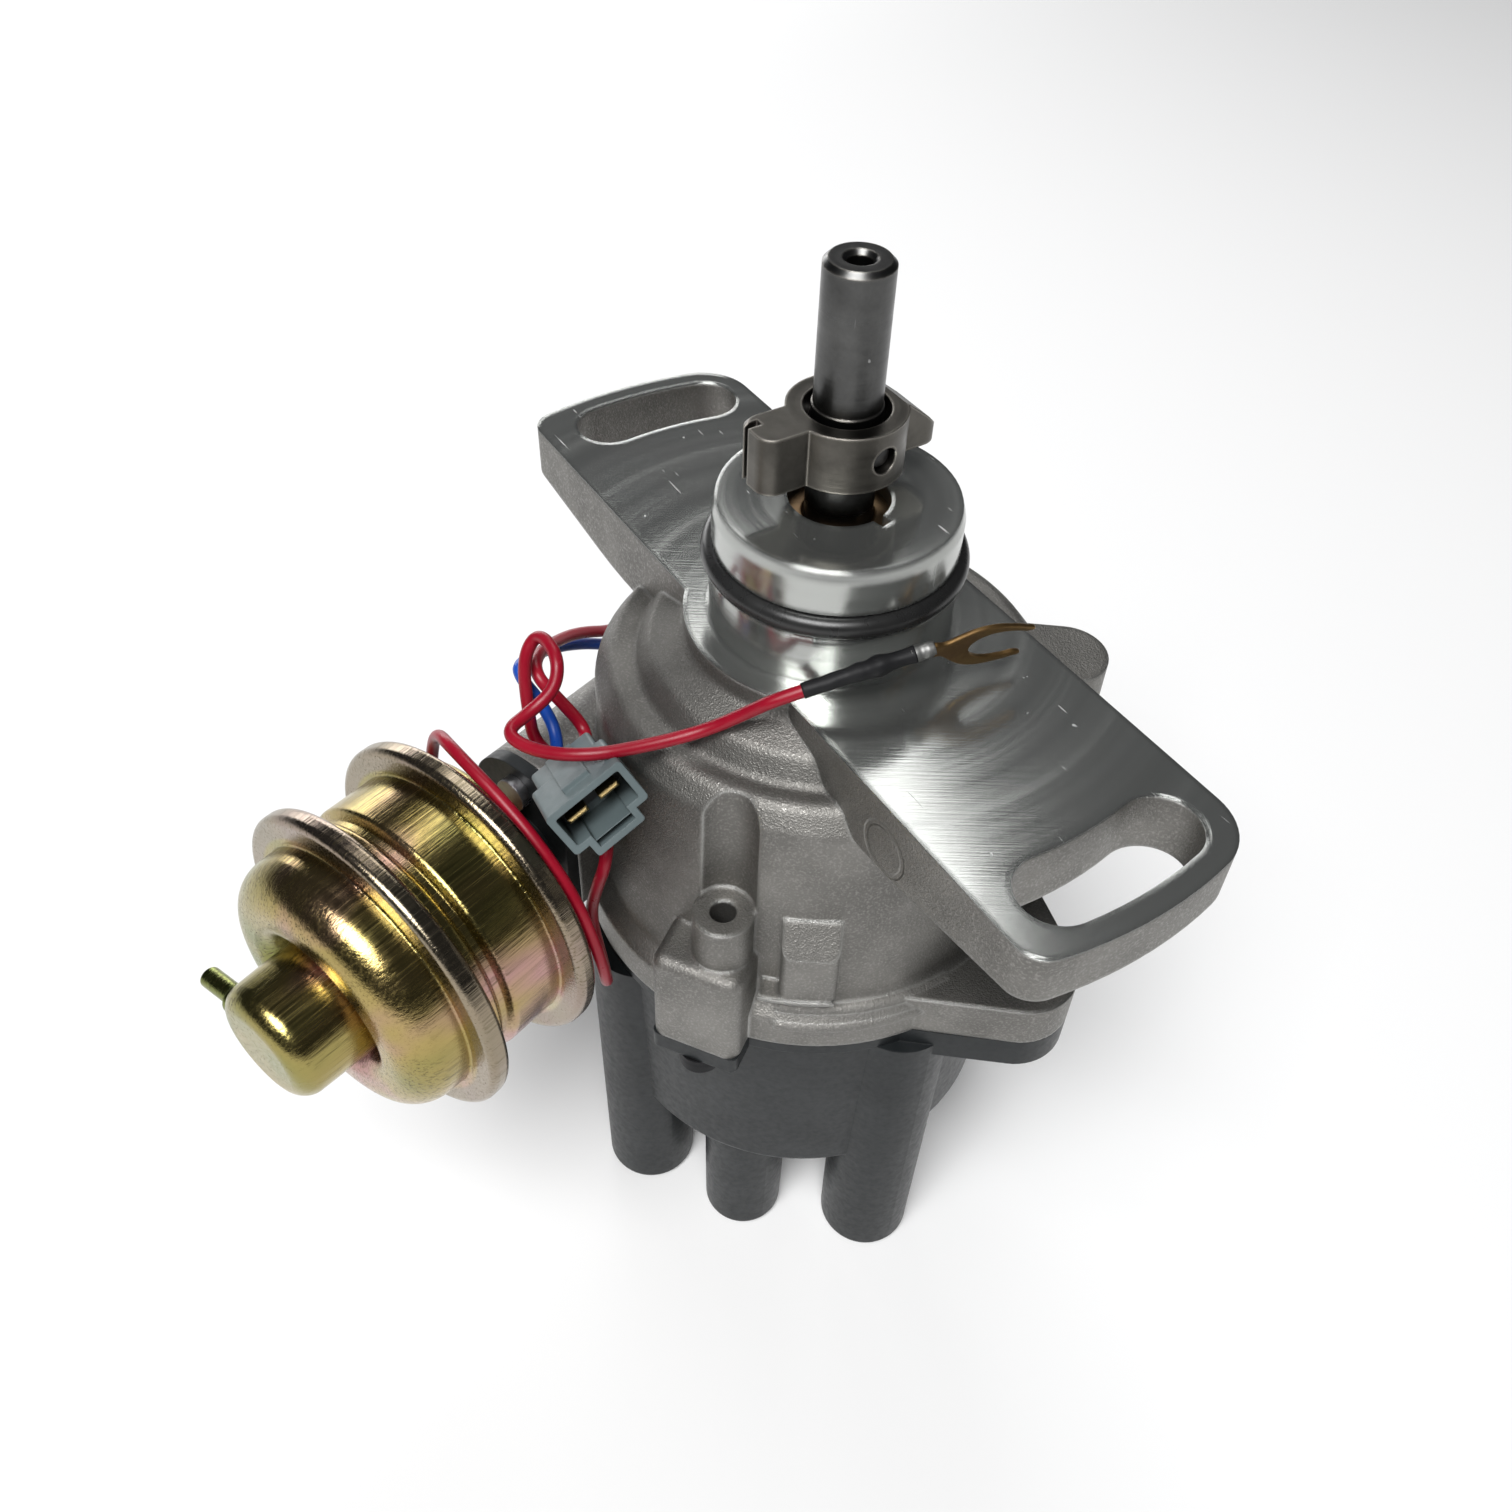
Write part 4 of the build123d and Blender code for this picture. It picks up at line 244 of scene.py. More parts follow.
def end_group(group, **outputs):
    """End a shader node group with the values that it gives."""
    for label in outputs:
        group.interface.new_socket(label, in_out="OUTPUT", socket_type="NodeSocketFloat")
    end = group.nodes.new("NodeGroupOutput")
    for label, value in outputs.items():
        group.links.new(value, end.inputs[label])
    return group


def feed(tree, socket, value):
    """Link a source socket to a socket, or set it to a number or a colour."""
    if isinstance(value, bpy.types.NodeSocket):
        tree.links.new(value, socket)
    elif isinstance(value, (int, float)):
        socket.default_value = value
    else:
        socket.default_value = (*value, 1.0)


def add_node(tree, kind, links=(), values=(), **settings):
    """Add a node, set its properties, link what feeds it and set its other sockets."""
    node = tree.nodes.new(kind)
    for key, value in settings.items():
        setattr(node, key, value)
    for socket, source in links:
        tree.links.new(source, node.inputs[socket])
    for socket, value in values:
        node.inputs[socket].default_value = value
    return node


def maths(tree, operation, *values):
    """Add a Math node fed by numbers or sockets."""
    node = add_node(tree, "ShaderNodeMath", operation=operation)
    for socket, value in zip(node.inputs, values):
        feed(tree, socket, value)
    return node.outputs[0]


def blend_value(tree, factor, first, second):
    """Mix two values. A Mix node takes its numbers at sockets 2 and 3."""
    node = add_node(tree, "ShaderNodeMix", data_type="FLOAT")
    for index, value in ((0, factor), (2, first), (3, second)):
        feed(tree, node.inputs[index], value)
    return node.outputs[0]


def blend_colour(tree, factor, first, second):
    """Mix two colours. A Mix node takes them at sockets 6 and 7, and gives its colour at 2."""
    node = add_node(tree, "ShaderNodeMix", data_type="RGBA")
    for index, value in ((0, factor), (6, first), (7, second)):
        feed(tree, node.inputs[index], value)
    return node.outputs[2]


def remap(tree, value, low, high, to_low=0.0, to_high=1.0):
    """Spread a range of values over another, clamped."""
    node = add_node(
        tree, "ShaderNodeMapRange", links=[("Value", value)],
        values=[("From Min", low), ("From Max", high), ("To Min", to_low), ("To Max", to_high)],
    )
    return node.outputs[0]


def noise(tree, vector, scale, detail, roughness):
    """Add a Noise Texture on the given coordinates; its scale is a number or a socket."""
    node = add_node(
        tree, "ShaderNodeTexNoise", links=[("Vector", vector)],
        values=[("Detail", detail), ("Roughness", roughness)],
    )
    feed(tree, node.inputs["Scale"], scale)
    return node.outputs[0]


def mapped(tree, vector, **changes):
    """Coordinates with a new location, rotation or scale."""
    node = add_node(tree, "ShaderNodeMapping", links=[("Vector", vector)])
    for name, value in changes.items():
        node.inputs[name.title()].default_value = value
    return node.outputs[0]


def flat_radius(tree, vector):
    """Distance of a point from the Z axis of its coordinates."""
    flat = mapped(tree, vector, scale=(1.0, 1.0, 0.0))
    return add_node(tree, "ShaderNodeVectorMath", links=[(0, flat)], operation="LENGTH").outputs["Value"]


def cast_grain_group():
    """Blasted casting: fine grain height, broad mottling and bright specks."""
    group, given = new_group("cast_grain", Vector=None, Grain_Scale=1600.0)
    vector = given["Vector"]
    fine = noise(group, vector, given["Grain Scale"], 3.0, 0.65)
    cells = add_node(group, "ShaderNodeTexVoronoi", links=[("Vector", vector)], values=[("Scale", 3900.0)])
    height = maths(group, "ADD", fine, maths(group, "MULTIPLY", cells.outputs["Distance"], 0.35))
    mottle = noise(group, vector, 55.0, 4.0, 0.6)
    return end_group(group, Height=height, Mottle=mottle, Speck=remap(group, fine, 0.50, 0.68))


def turned_rings_group():
    """Lathe marks: rings about the local Z axis, with a little unevenness."""
    group, given = new_group("turned_rings", Vector=None)
    parts = add_node(group, "ShaderNodeSeparateXYZ", links=[("Vector", given["Vector"])])
    radius = flat_radius(group, given["Vector"])
    joined = add_node(group, "ShaderNodeCombineXYZ", links=[("X", radius), ("Y", parts.outputs["Z"])])
    place = joined.outputs[0]
    return end_group(
        group, Height=noise(group, place, 900.0, 4.0, 0.7), Tone=noise(group, place, 190.0, 3.0, 0.6),
    )


def brushed_face_group():
    """Straight, fine lines left by dressing the flange face."""
    group, given = new_group("brushed_face", Vector=None)
    turned = mapped(group, given["Vector"], rotation=(0.0, 0.0, FLANGE_LAY_TURN))
    drawn = mapped(group, turned, scale=(60.0, 2600.0, 60.0))
    return end_group(group, Height=noise(group, drawn, 1.0, 3.0, 0.6))


def scuffs_group():
    """Handling marks: thin scratches in three directions, nicks and soft smudges."""
    group, given = new_group("scuffs", Vector=None)
    vector = given["Vector"]
    scratch = remap(group, noise(group, vector, 420.0, 2.0, 0.5), 0.755, 0.775)
    for turn, stretch in ((-0.75, 110.0), (0.95, 130.0), (2.3, 90.0)):
        drawn = mapped(group, vector, rotation=(0.3, 0.2, turn), scale=(stretch, 1500.0, 60.0))
        line = remap(group, noise(group, drawn, 1.0, 2.0, 0.5), 0.76, 0.80)
        scratch = maths(group, "MAXIMUM", scratch, line)
    return end_group(group, Scratch=scratch, Smudge=noise(group, vector, 90.0, 5.0, 0.65))


def moulded_skin_group():
    """Moulded skin: a fine grain and broad, faded clouds."""
    group, given = new_group("moulded_skin", Vector=None, Skin_Scale=900.0)
    vector = given["Vector"]
    skin = noise(group, vector, given["Skin Scale"], 3.0, 0.6)
    return end_group(group, Skin=skin, Cloud=noise(group, vector, 70.0, 4.0, 0.6))


def edge_wear_and_highlight_group():
    """Edge wear and painted highlight: 1 where a rounded normal leans from its face, on an edge, and 0 on the
    open face.
    """
    group, given = new_group("edge_wear_and_highlight", Width=0.0009)
    soft = add_node(group, "ShaderNodeBevel", links=[("Radius", given["Width"])], samples=3)
    plain = group.nodes.new("ShaderNodeNewGeometry")
    lean = add_node(
        group, "ShaderNodeVectorMath", links=[(0, soft.outputs[0]), (1, plain.outputs["Normal"])],
        operation="DOT_PRODUCT",
    )
    return end_group(group, Wear=remap(group, lean.outputs["Value"], 0.985, 0.80))


def use_group(tree, maker, place=None, **numbers):
    """Place a shared node group, which its maker builds the first time, on coordinates and with its numbers."""
    group = bpy.data.node_groups.get(maker.__name__.removesuffix("_group")) or maker()
    links = [("Vector", place)] if place else []
    values = [(label.replace("_", " "), number) for label, number in numbers.items()]
    return add_node(tree, "ShaderNodeGroup", links=links, values=values, node_tree=group)


def new_material(name, metallic, roughness):
    """A material with its Principled shader and object coordinates."""
    material = bpy.data.materials.new(name)
    material.use_nodes = True
    tree = material.node_tree
    shader = tree.nodes["Principled BSDF"]
    shader.inputs["Metallic"].default_value = metallic
    shader.inputs["Roughness"].default_value = roughness
    place = tree.nodes.new("ShaderNodeTexCoord").outputs["Object"]
    return material, tree, shader, place


def paint(tree, shader, colour, roughness):
    """Feed a colour and a roughness to the shader."""
    tree.links.new(colour, shader.inputs["Base Color"])
    tree.links.new(roughness, shader.inputs["Roughness"])


def add_bump(tree, shader, height, strength, distance, round_edges=0.0003):
    """Feed a height to the shader's normal, over softly rounded edges."""
    rounded = add_node(tree, "ShaderNodeBevel", values=[("Radius", round_edges)], samples=3)
    bump = add_node(
        tree, "ShaderNodeBump", links=[("Height", height), ("Normal", rounded.outputs[0])],
        values=[("Strength", strength), ("Distance", distance)],
    )
    tree.links.new(bump.outputs[0], shader.inputs["Normal"])


def can_coordinates(tree, place):
    """Coordinates in which the can's axis is Z, centred on it."""
    centred = mapped(tree, place, location=-CAN_FOOT * MM)
    turned = mapped(tree, centred, rotation=(0.0, 0.0, -CAN_AXIS_TURN))
    return mapped(tree, turned, rotation=(0.0, -QUARTER_TURN, 0.0))


# --- materials
def casting_colour(tree, finish, grain, scuffs, is_machined, edge):
    """Mottled casting with bright specks, worn edges lightened as a painted highlight, and scuffed bare metal
    where it is machined.
    """
    dark = [value * 0.62 for value in finish.casting]
    light = [min(1.0, value * 1.45) for value in finish.casting]
    cloud = remap(tree, grain.outputs["Mottle"], 0.35, 0.68)
    mottled = blend_colour(tree, cloud, dark, finish.casting)
    speck = maths(tree, "MULTIPLY", grain.outputs["Speck"], 0.40)
    specked = blend_colour(tree, speck, mottled, light)
    # Worn edges with a painted highlight: the edges lighten towards a bright metal colour.
    worn_and_edge_lit = blend_colour(tree, maths(tree, "MULTIPLY", edge, 0.75), specked, CAST_EDGE_WEAR_AND_HIGHLIGHT)
    scratch = maths(tree, "MULTIPLY", scuffs.outputs["Scratch"], 0.6)
    bright = blend_colour(tree, scratch, finish.machined, FRESH_SCRATCH)
    stain = remap(tree, scuffs.outputs["Smudge"], 0.4, 0.75, 0.0, 0.35)
    return blend_colour(tree, is_machined, worn_and_edge_lit, blend_colour(tree, stain, bright, MACHINED_STAIN))


def casting_roughness(tree, grain, rings, scuffs, is_machined, edge):
    """Matt casting, rubbed smoother on its edges, and smooth turned metal dulled by scratches."""
    cast = remap(tree, grain.outputs["Speck"], 0.0, 1.0, 0.52, 0.30)
    rubbed = blend_value(tree, maths(tree, "MULTIPLY", edge, 0.7), cast, 0.26)
    smooth = remap(tree, rings.outputs["Tone"], 0.35, 0.7, 0.11, 0.22)
    turned = maths(tree, "ADD", smooth, maths(tree, "MULTIPLY", scuffs.outputs["Scratch"], 0.35))
    return blend_value(tree, is_machined, rubbed, turned)


def casting_height(tree, place, grain, rings, scuffs, is_machined):
    """Grain and an ejector mark where it is cast, and rings or a straight lay where it is machined."""
    brush = use_group(tree, brushed_face_group, place)
    on_flange = remap(tree, flat_radius(tree, place), *SPIGOT_FOOT_RADII)
    lay = blend_value(tree, on_flange, rings.outputs["Height"], brush.outputs["Height"])
    scratch = maths(tree, "MULTIPLY", scuffs.outputs["Scratch"], -0.05)
    machined = maths(tree, "ADD", maths(tree, "MULTIPLY", lay, 0.10), scratch)
    pressed = maths(tree, "MULTIPLY", ejector_mark(tree, place), 2.2)
    cast = maths(tree, "SUBTRACT", grain.outputs["Height"], pressed)
    return blend_value(tree, is_machined, cast, machined)


def casting_material(finish):
    """Blasted casting whose flange face and spigot are machined."""
    material, tree, shader, place = new_material("cast_and_machined_aluminium", 0.9, 0.5)
    grain = use_group(tree, cast_grain_group, place, Grain_Scale=1.0 / finish.grain_size)
    rings = use_group(tree, turned_rings_group, place)
    scuffs = use_group(tree, scuffs_group, place)
    parts = add_node(tree, "ShaderNodeSeparateXYZ", links=[("Vector", place)])
    is_machined = remap(tree, parts.outputs["Z"], *FLANGE_FACE_Z)
    edge = use_group(tree, edge_wear_and_highlight_group, Width=0.0009).outputs["Wear"]
    colour = casting_colour(tree, finish, grain, scuffs, is_machined, edge)
    paint(tree, shader, colour, casting_roughness(tree, grain, rings, scuffs, is_machined, edge))
    height = casting_height(tree, place, grain, rings, scuffs, is_machined)
    add_bump(tree, shader, height, 0.55, 0.0002, round_edges=0.0012)
    return material


def ejector_mark(tree, place):
    """A thin ring pressed into the flange's side wall by an ejector pin of the die."""
    away = add_node(
        tree, "ShaderNodeVectorMath", links=[(0, place)], values=[(1, EJECTOR_PLACE * MM)],
        operation="DISTANCE",
    )
    off_ring = maths(tree, "ABSOLUTE", maths(tree, "SUBTRACT", away.outputs["Value"], EJECTOR_RADIUS * MM))
    near, far = EJECTOR_LINE
    return remap(tree, off_ring, near * MM, far * MM, 1.0, 0.0)


def steel_material(name, colour, roughness, ring_strength=0.25, edge_wear_and_highlight_share=0.0):
    """Ground or turned steel with faint rings and smudges."""
    material, tree, shader, place = new_material(name, 1.0, roughness)
    rings = use_group(tree, turned_rings_group, place)
    scuffs = use_group(tree, scuffs_group, place)
    dark = [value * 0.55 for value in colour]
    stained = blend_colour(tree, remap(tree, scuffs.outputs["Smudge"], 0.38, 0.7), colour, dark)
    scratch = maths(tree, "MULTIPLY", scuffs.outputs["Scratch"], 0.3)
    worn_and_edge_lit = blend_colour(tree, scratch, stained, STEEL_SCRATCH)
    # Worn edges with a painted highlight: the edges lighten towards a bright steel colour.
    if edge_wear_and_highlight_share:
        edge = use_group(tree, edge_wear_and_highlight_group, Width=0.0006).outputs["Wear"]
        worn_and_edge_lit = blend_colour(tree, maths(tree, "MULTIPLY", edge, edge_wear_and_highlight_share), worn_and_edge_lit, STEEL_EDGE_WEAR_AND_HIGHLIGHT)
    paint(tree, shader, worn_and_edge_lit, remap(tree, rings.outputs["Tone"], 0.3, 0.7, roughness * 0.75, roughness * 1.35))
    add_bump(tree, shader, rings.outputs["Height"], ring_strength, 0.00006)
    return material


def zinc_material(finish):
    """Yellow passivated zinc: green, gold and pink clouds with fine streaks along the can."""
    material, tree, shader, place = new_material("yellow_zinc", 1.0, 0.2)
    local = can_coordinates(tree, place)
    cloud = noise(tree, mapped(tree, local, scale=(30.0, 30.0, 14.0)), 1.0, 3.0, 0.55)
    streak = noise(tree, mapped(tree, local, scale=(2300.0, 2300.0, 70.0)), 1.0, 3.0, 0.65)
    patch = noise(tree, place, 60.0, 2.0, 0.5)
    clouds = ((0.30, ZINC_OLIVE), (0.46, finish.zinc), (0.55, ZINC_PINK), (0.63, ZINC_SAND), (0.75, ZINC_GREEN))
    ramp = add_node(tree, "ShaderNodeValToRGB", links=[("Fac", cloud)])
    stops = ramp.color_ramp.elements
    stops[0].position, stops[1].position = clouds[0][0], clouds[1][0]
    for position, _ in clouds[2:]:
        stops.new(position)
    for stop, (_, colour) in zip(stops, clouds):
        stop.color = (*colour, 1.0)
    on_rim = remap(tree, flat_radius(tree, local), *CAN_RIM_RADII, 0.0, 0.85)
    rimmed = blend_colour(tree, on_rim, ramp.outputs["Color"], ZINC_RIM)
    patchy = remap(tree, patch, 0.42, 0.6, 0.1, 0.8)
    deep = maths(tree, "MULTIPLY", remap(tree, streak, 0.50, 0.66), patchy)
    streaked = blend_colour(tree, deep, rimmed, ZINC_STREAK)
    paint(tree, shader, streaked, remap(tree, streak, 0.35, 0.7, 0.13, 0.32))
    add_bump(tree, shader, streak, 0.62, 0.00009)
    return material


def plastic_material(name, colour, roughness, grain=0.15, scale=900.0, shine=0.5):
    """Moulded plastic or rubber with a fine skin and slight wear."""
    material, tree, shader, place = new_material(name, 0.0, roughness)
    moulded = use_group(tree, moulded_skin_group, place, Skin_Scale=scale)
    skin = moulded.outputs["Skin"]
    faded = [min(1.0, value * 1.5 + 0.01) for value in colour]
    cloud = remap(tree, moulded.outputs["Cloud"], 0.35, 0.75, 0.0, 0.7)
    rough = remap(tree, skin, 0.3, 0.7, roughness * 0.85, min(1.0, roughness * 1.2))
    paint(tree, shader, blend_colour(tree, cloud, colour, faded), rough)
    shader.inputs["Specular IOR Level"].default_value = shine
    add_bump(tree, shader, skin, grain, 0.0001)
    return material


def plug_distance(tree, from_mouth, way):
    """How far a point lies from the middle of the plug's mouth, along one of the plug's ways."""
    along = add_node(
        tree, "ShaderNodeVectorMath", links=[(0, from_mouth)], values=[(1, way)], operation="DOT_PRODUCT",
    )
    return along.outputs["Value"]


def connector_material():
    """Grey moulding with painted shade deep in its sockets."""
    material = plastic_material("connector_moulding", (0.105, 0.135, 0.140), 0.38, grain=0.1, scale=600.0)
    tree = material.node_tree
    shader = tree.nodes["Principled BSDF"]
    skin = shader.inputs["Base Color"].links[0].from_socket
    place = tree.nodes.new("ShaderNodeTexCoord").outputs["Object"]
    from_mouth = add_node(
        tree, "ShaderNodeVectorMath", links=[(0, place)], values=[(1, PLUG_MOUTH * MM)], operation="SUBTRACT",
    ).outputs[0]
    # Painted shade: the inside of each socket darkens to near black with depth, where shade falls in the
    # cavity.
    near, far = SOCKET_DEPTHS
    painted_socket_shade = remap(tree, plug_distance(tree, from_mouth, -PLUG_OUT), near * MM, far * MM)
    for way, (near, far) in ((PLUG_SIDE, SOCKET_HALF_WIDTHS), (PLUG_SIDE.cross(PLUG_OUT), SOCKET_HALF_HEIGHTS)):
        aside = maths(tree, "ABSOLUTE", plug_distance(tree, from_mouth, way))
        painted_socket_shade = maths(tree, "MULTIPLY", painted_socket_shade, remap(tree, aside, near * MM, far * MM, 1.0, 0.0))
    tree.links.new(blend_colour(tree, painted_socket_shade, skin, SOCKET_SHADE), shader.inputs["Base Color"])
    return material


def brass_material(name, colour, dull):
    """Stamped brass, tarnished by handling."""
    material, tree, shader, place = new_material(name, 1.0, 0.4)
    smudge = use_group(tree, scuffs_group, place).outputs["Smudge"]
    stain = blend_colour(tree, remap(tree, smudge, 0.35, 0.65), colour, dull)
    paint(tree, shader, stain, remap(tree, smudge, 0.3, 0.7, 0.32, 0.55))
    add_bump(tree, shader, smudge, 0.3, 0.0001)
    return material


def dress(names, material):
    """Give CAD nodes a material."""
    for name in names:
        if name not in nodes:
            raise RuntimeError(f"the frame has no node called {name}")
        slots = nodes[name].data.materials
        slots.clear()
        slots.append(material)


def stand_for(piece, node, body):
    """Let a piece take the place of a CAD node, on the body that carries it."""
    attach(piece, body)
    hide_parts(node)


# --- leads
def lead_curve(name, points_mm, diameter, material):
    """A smooth tube through control points given in millimetres."""
    curve = bpy.data.curves.new(name, "CURVE")
    curve.dimensions = "3D"
    curve.bevel_depth = diameter / 2
    curve.bevel_resolution = 6
    curve.resolution_u = 12
    curve.use_fill_caps = True
    spline = curve.splines.new("NURBS")
    spline.points.add(len(points_mm) - 1)
    for point, place in zip(spline.points, points_mm):
        point.co = (*(Vector(place) * MM), 1.0)
    spline.order_u = 3
    spline.use_endpoint_u = True
    curve.materials.append(material)
    return new_object(name, curve)


def cord_line(piece):
    """The points of a lead's centre line, evaluated from its spline."""
    bare = piece.data.copy()
    bare.bevel_depth = 0.0
    holder = bpy.data.objects.new("line_holder", bare)
    mesh = bpy.data.meshes.new_from_object(holder)
    line = [vertex.co.copy() for vertex in mesh.vertices]
    bpy.data.objects.remove(holder)
    bpy.data.meshes.remove(mesh)
    bpy.data.curves.remove(bare)
    return line


def walk_back(line, distances):
    """Points at the given distances from the end of a line, measured along it."""
    places = []
    for distance in distances:
        left = distance
        index = len(line) - 1
        while index > 1 and (line[index] - line[index - 1]).length < left:
            left -= (line[index] - line[index - 1]).length
            index -= 1
        step = line[index - 1] - line[index]
        places.append(line[index] + step.normalized() * left)
    return places


def add_tube(mesh, line, radius_at, sides, slot):
    """Sweep a closed tube along a line. radius_at(step, angle) gives its radius in metres."""
    across = (line[-1] - line[0]).orthogonal().normalized()
    rings = []
    for step, place in enumerate(line):
        ahead = line[min(step + 1, len(line) - 1)] - line[max(step - 1, 0)]
        ahead.normalize()
        across = (across - ahead * across.dot(ahead)).normalized()
        other = ahead.cross(across)
        ring = []
        for side in range(sides):
            angle = 2 * math.pi * side / sides
            out = across * math.cos(angle) + other * math.sin(angle)
            ring.append(mesh.verts.new(place + out * radius_at(step, angle)))
        rings.append(ring)
    for near, far in zip(rings, rings[1:]):
        for side in range(sides):
            after = (side + 1) % sides
            face = mesh.faces.new((near[side], near[after], far[after], far[side]))
            face.smooth = True
            face.material_index = slot
    for ring, order in ((rings[0], -1), (rings[-1], 1)):
        face = mesh.faces.new(ring[::order])
        face.material_index = slot


def mesh_piece(name, mesh, materials):
    """Turn a bmesh into an object at the origin, and free it."""
    bmesh.ops.recalc_face_normals(mesh, faces=mesh.faces)
    data = bpy.data.meshes.new(name)
    mesh.to_mesh(data)
    mesh.free()
    for material in materials:
        data.materials.append(material)
    return new_object(name, data)


def bell(along, middle, width):
    """A smooth hump of height 1."""
    return math.exp(-((along - middle) / width) ** 2)


def shrunk_sleeve(line, length, material):
    """Heat-shrink sleeve, tight on the wire and lumpy over the crimp."""
    count = 60
    places = walk_back(line, [length * (1 - step / count) for step in range(count + 1)])

    def radius_at(step, angle):
        along = step / count
        lump = bell(along, 0.68, 0.085) + 0.45 * bell(along, 0.50, 0.06)
        lobes = 0.8 + 0.2 * math.cos(angle * 3 + 0.6)
        ripple = lump_noise(Vector((along * 9.0, math.cos(angle) * 0.8, math.sin(angle) * 0.8)))
        flare = 0.10 * bell(along, 1.0, 0.05)
        return (SLEEVE_RADIUS + 0.52 * lump * lobes + 0.10 * ripple + flare) * MM

    mesh = bmesh.new()
    add_tube(mesh, places, radius_at, 28, 0)
    return mesh_piece("shrunk_sleeve", mesh, [material])


def stamped_fork():
    """The flat fork in millimetres: X along it, Y across it, Z through it."""
    outline = [*FORK_HALF, FORK_CROTCH, *((along, -up) for along, up in reversed(FORK_HALF))]
    flat = bpy.data.curves.new("fork_outline", "CURVE")
    flat.dimensions = "2D"
    flat.fill_mode = "BOTH"
    flat.extrude = FORK_CORE
    flat.bevel_depth = FORK_EDGE
    flat.bevel_resolution = 3
    flat.resolution_u = 8
    flat.offset = -FORK_EDGE
    spline = flat.splines.new("BEZIER")
    spline.bezier_points.add(len(outline) - 1)
    for point, (along, up) in zip(spline.bezier_points, outline):
        point.co = (along, up, 0.0)
        point.handle_left_type = point.handle_right_type = "AUTO"
    spline.use_cyclic_u = True
    holder = bpy.data.objects.new("fork_holder", flat)
    stamped = bpy.data.meshes.new_from_object(holder)
    mesh = bmesh.new()
    mesh.from_mesh(stamped)
    bpy.data.objects.remove(holder)
    bpy.data.meshes.remove(stamped)
    bpy.data.curves.remove(flat)
    bmesh.ops.remove_doubles(mesh, verts=mesh.verts, dist=0.002)
    return mesh


def fork_piece(brass, tin):
    """Stamped fork with rounded, slightly bent prongs and its tinned crimp barrel."""
    mesh = stamped_fork()
    ahead = FORK_WAY.normalized()
    normal = ahead.cross(FORK_UP).normalized()
    up_way = normal.cross(ahead)
    way = SLEEVE_WAY.normalized()
    origin = FORK_END + way * FORK_ROOT
    for vertex in mesh.verts:
        along, up, out = vertex.co
        dish = FORK_DISH * (up / 4.0) ** 2
        vertex.co = (origin + ahead * along + up_way * up + normal * (out + dish)) * MM
    for face in mesh.faces:
        face.smooth = True
    count = 24
    reaches = [BARREL_START + BARREL_LENGTH * step / count for step in range(count + 1)]
    barrel = [(FORK_END + way * reach) * MM for reach in reaches]

    def radius_at(step, angle):
        along = step / count
        pinch = bell(along, 0.45, 0.16)
        taper = max(0.0, along - 0.72) * 0.9
        return (BARREL_RADIUS - 0.16 * pinch * (1 + 0.5 * math.cos(2 * angle)) - taper) * MM

    add_tube(mesh, barrel, radius_at, 24, 1)
    return mesh_piece("fork_end", mesh, [brass, tin])


class OBJECT_OT_distributor_leads(bpy.types.Operator):
    """Lay the earth lead with its sleeve and fork, and the two signal leads"""

    bl_idname = "object.distributor_leads"
    bl_label = "Leads"

    def execute(self, context):
        leads = context.scene.distributor_leads
        vinyl = {"roughness": 0.32, "grain": 0.05, "scale": 500.0, "shine": 0.35}
        red = plastic_material("red_insulation", tuple(leads.red), **vinyl)
        blue = plastic_material("blue_insulation", tuple(leads.blue), **vinyl)
        rubber = plastic_material("sleeve_black", (0.007, 0.007, 0.008), 0.5, grain=0.5, scale=500.0, shine=0.2)
        brass = brass_material("fork_brass", (0.30, 0.19, 0.075), (0.15, 0.09, 0.04))
        tin = steel_material("tinned_crimp", (0.36, 0.36, 0.35), 0.5, ring_strength=0.6)
        fork_exit = GROMMET_FACE + GROMMET_SIDE * WIRE_SPACING
        blue_exit = GROMMET_FACE - GROMMET_SIDE * WIRE_SPACING
        red_end = PLUG_MOUTH - PLUG_SIDE * (PLUG_PITCH / 2) - PLUG_OUT * PLUG_DEPTH
        blue_end = PLUG_MOUTH + PLUG_SIDE * (PLUG_PITCH / 2) - PLUG_OUT * PLUG_DEPTH
        fork_route = [fork_exit, fork_exit + GROMMET_OUT * STRAIGHT_OUT, *EARTH_LEAD_ROUTE]
        red_route = [
            GROMMET_FACE, GROMMET_FACE + GROMMET_OUT * STRAIGHT_OUT, *RED_LEAD_ROUTE,
            red_end - PLUG_OUT * STRAIGHT_IN, red_end,
        ]
        blue_route = [
            blue_exit, blue_exit + GROMMET_OUT * BLUE_STRAIGHT_OUT, *BLUE_LEAD_ROUTE,
            blue_end - PLUG_OUT * STRAIGHT_IN, blue_end,
        ]
        earth_lead = lead_curve("earth_lead", fork_route, leads.diameter, red)
        red_lead = lead_curve("red_signal_lead", red_route, leads.diameter, red)
        blue_lead = lead_curve("blue_signal_lead", blue_route, leads.diameter, blue)
        sleeve = shrunk_sleeve(cord_line(earth_lead), SLEEVE_LENGTH, rubber)
        fork = fork_piece(brass, tin)
        stand_for(earth_lead, "fork_wire", "housing")
        stand_for(red_lead, "signal_wire_red", "housing")
        stand_for(blue_lead, "signal_wire_blue", "housing")
        stand_for(sleeve, "heat_shrink", "housing")
        stand_for(fork, "fork_terminal", "housing")
        return {"FINISHED"}


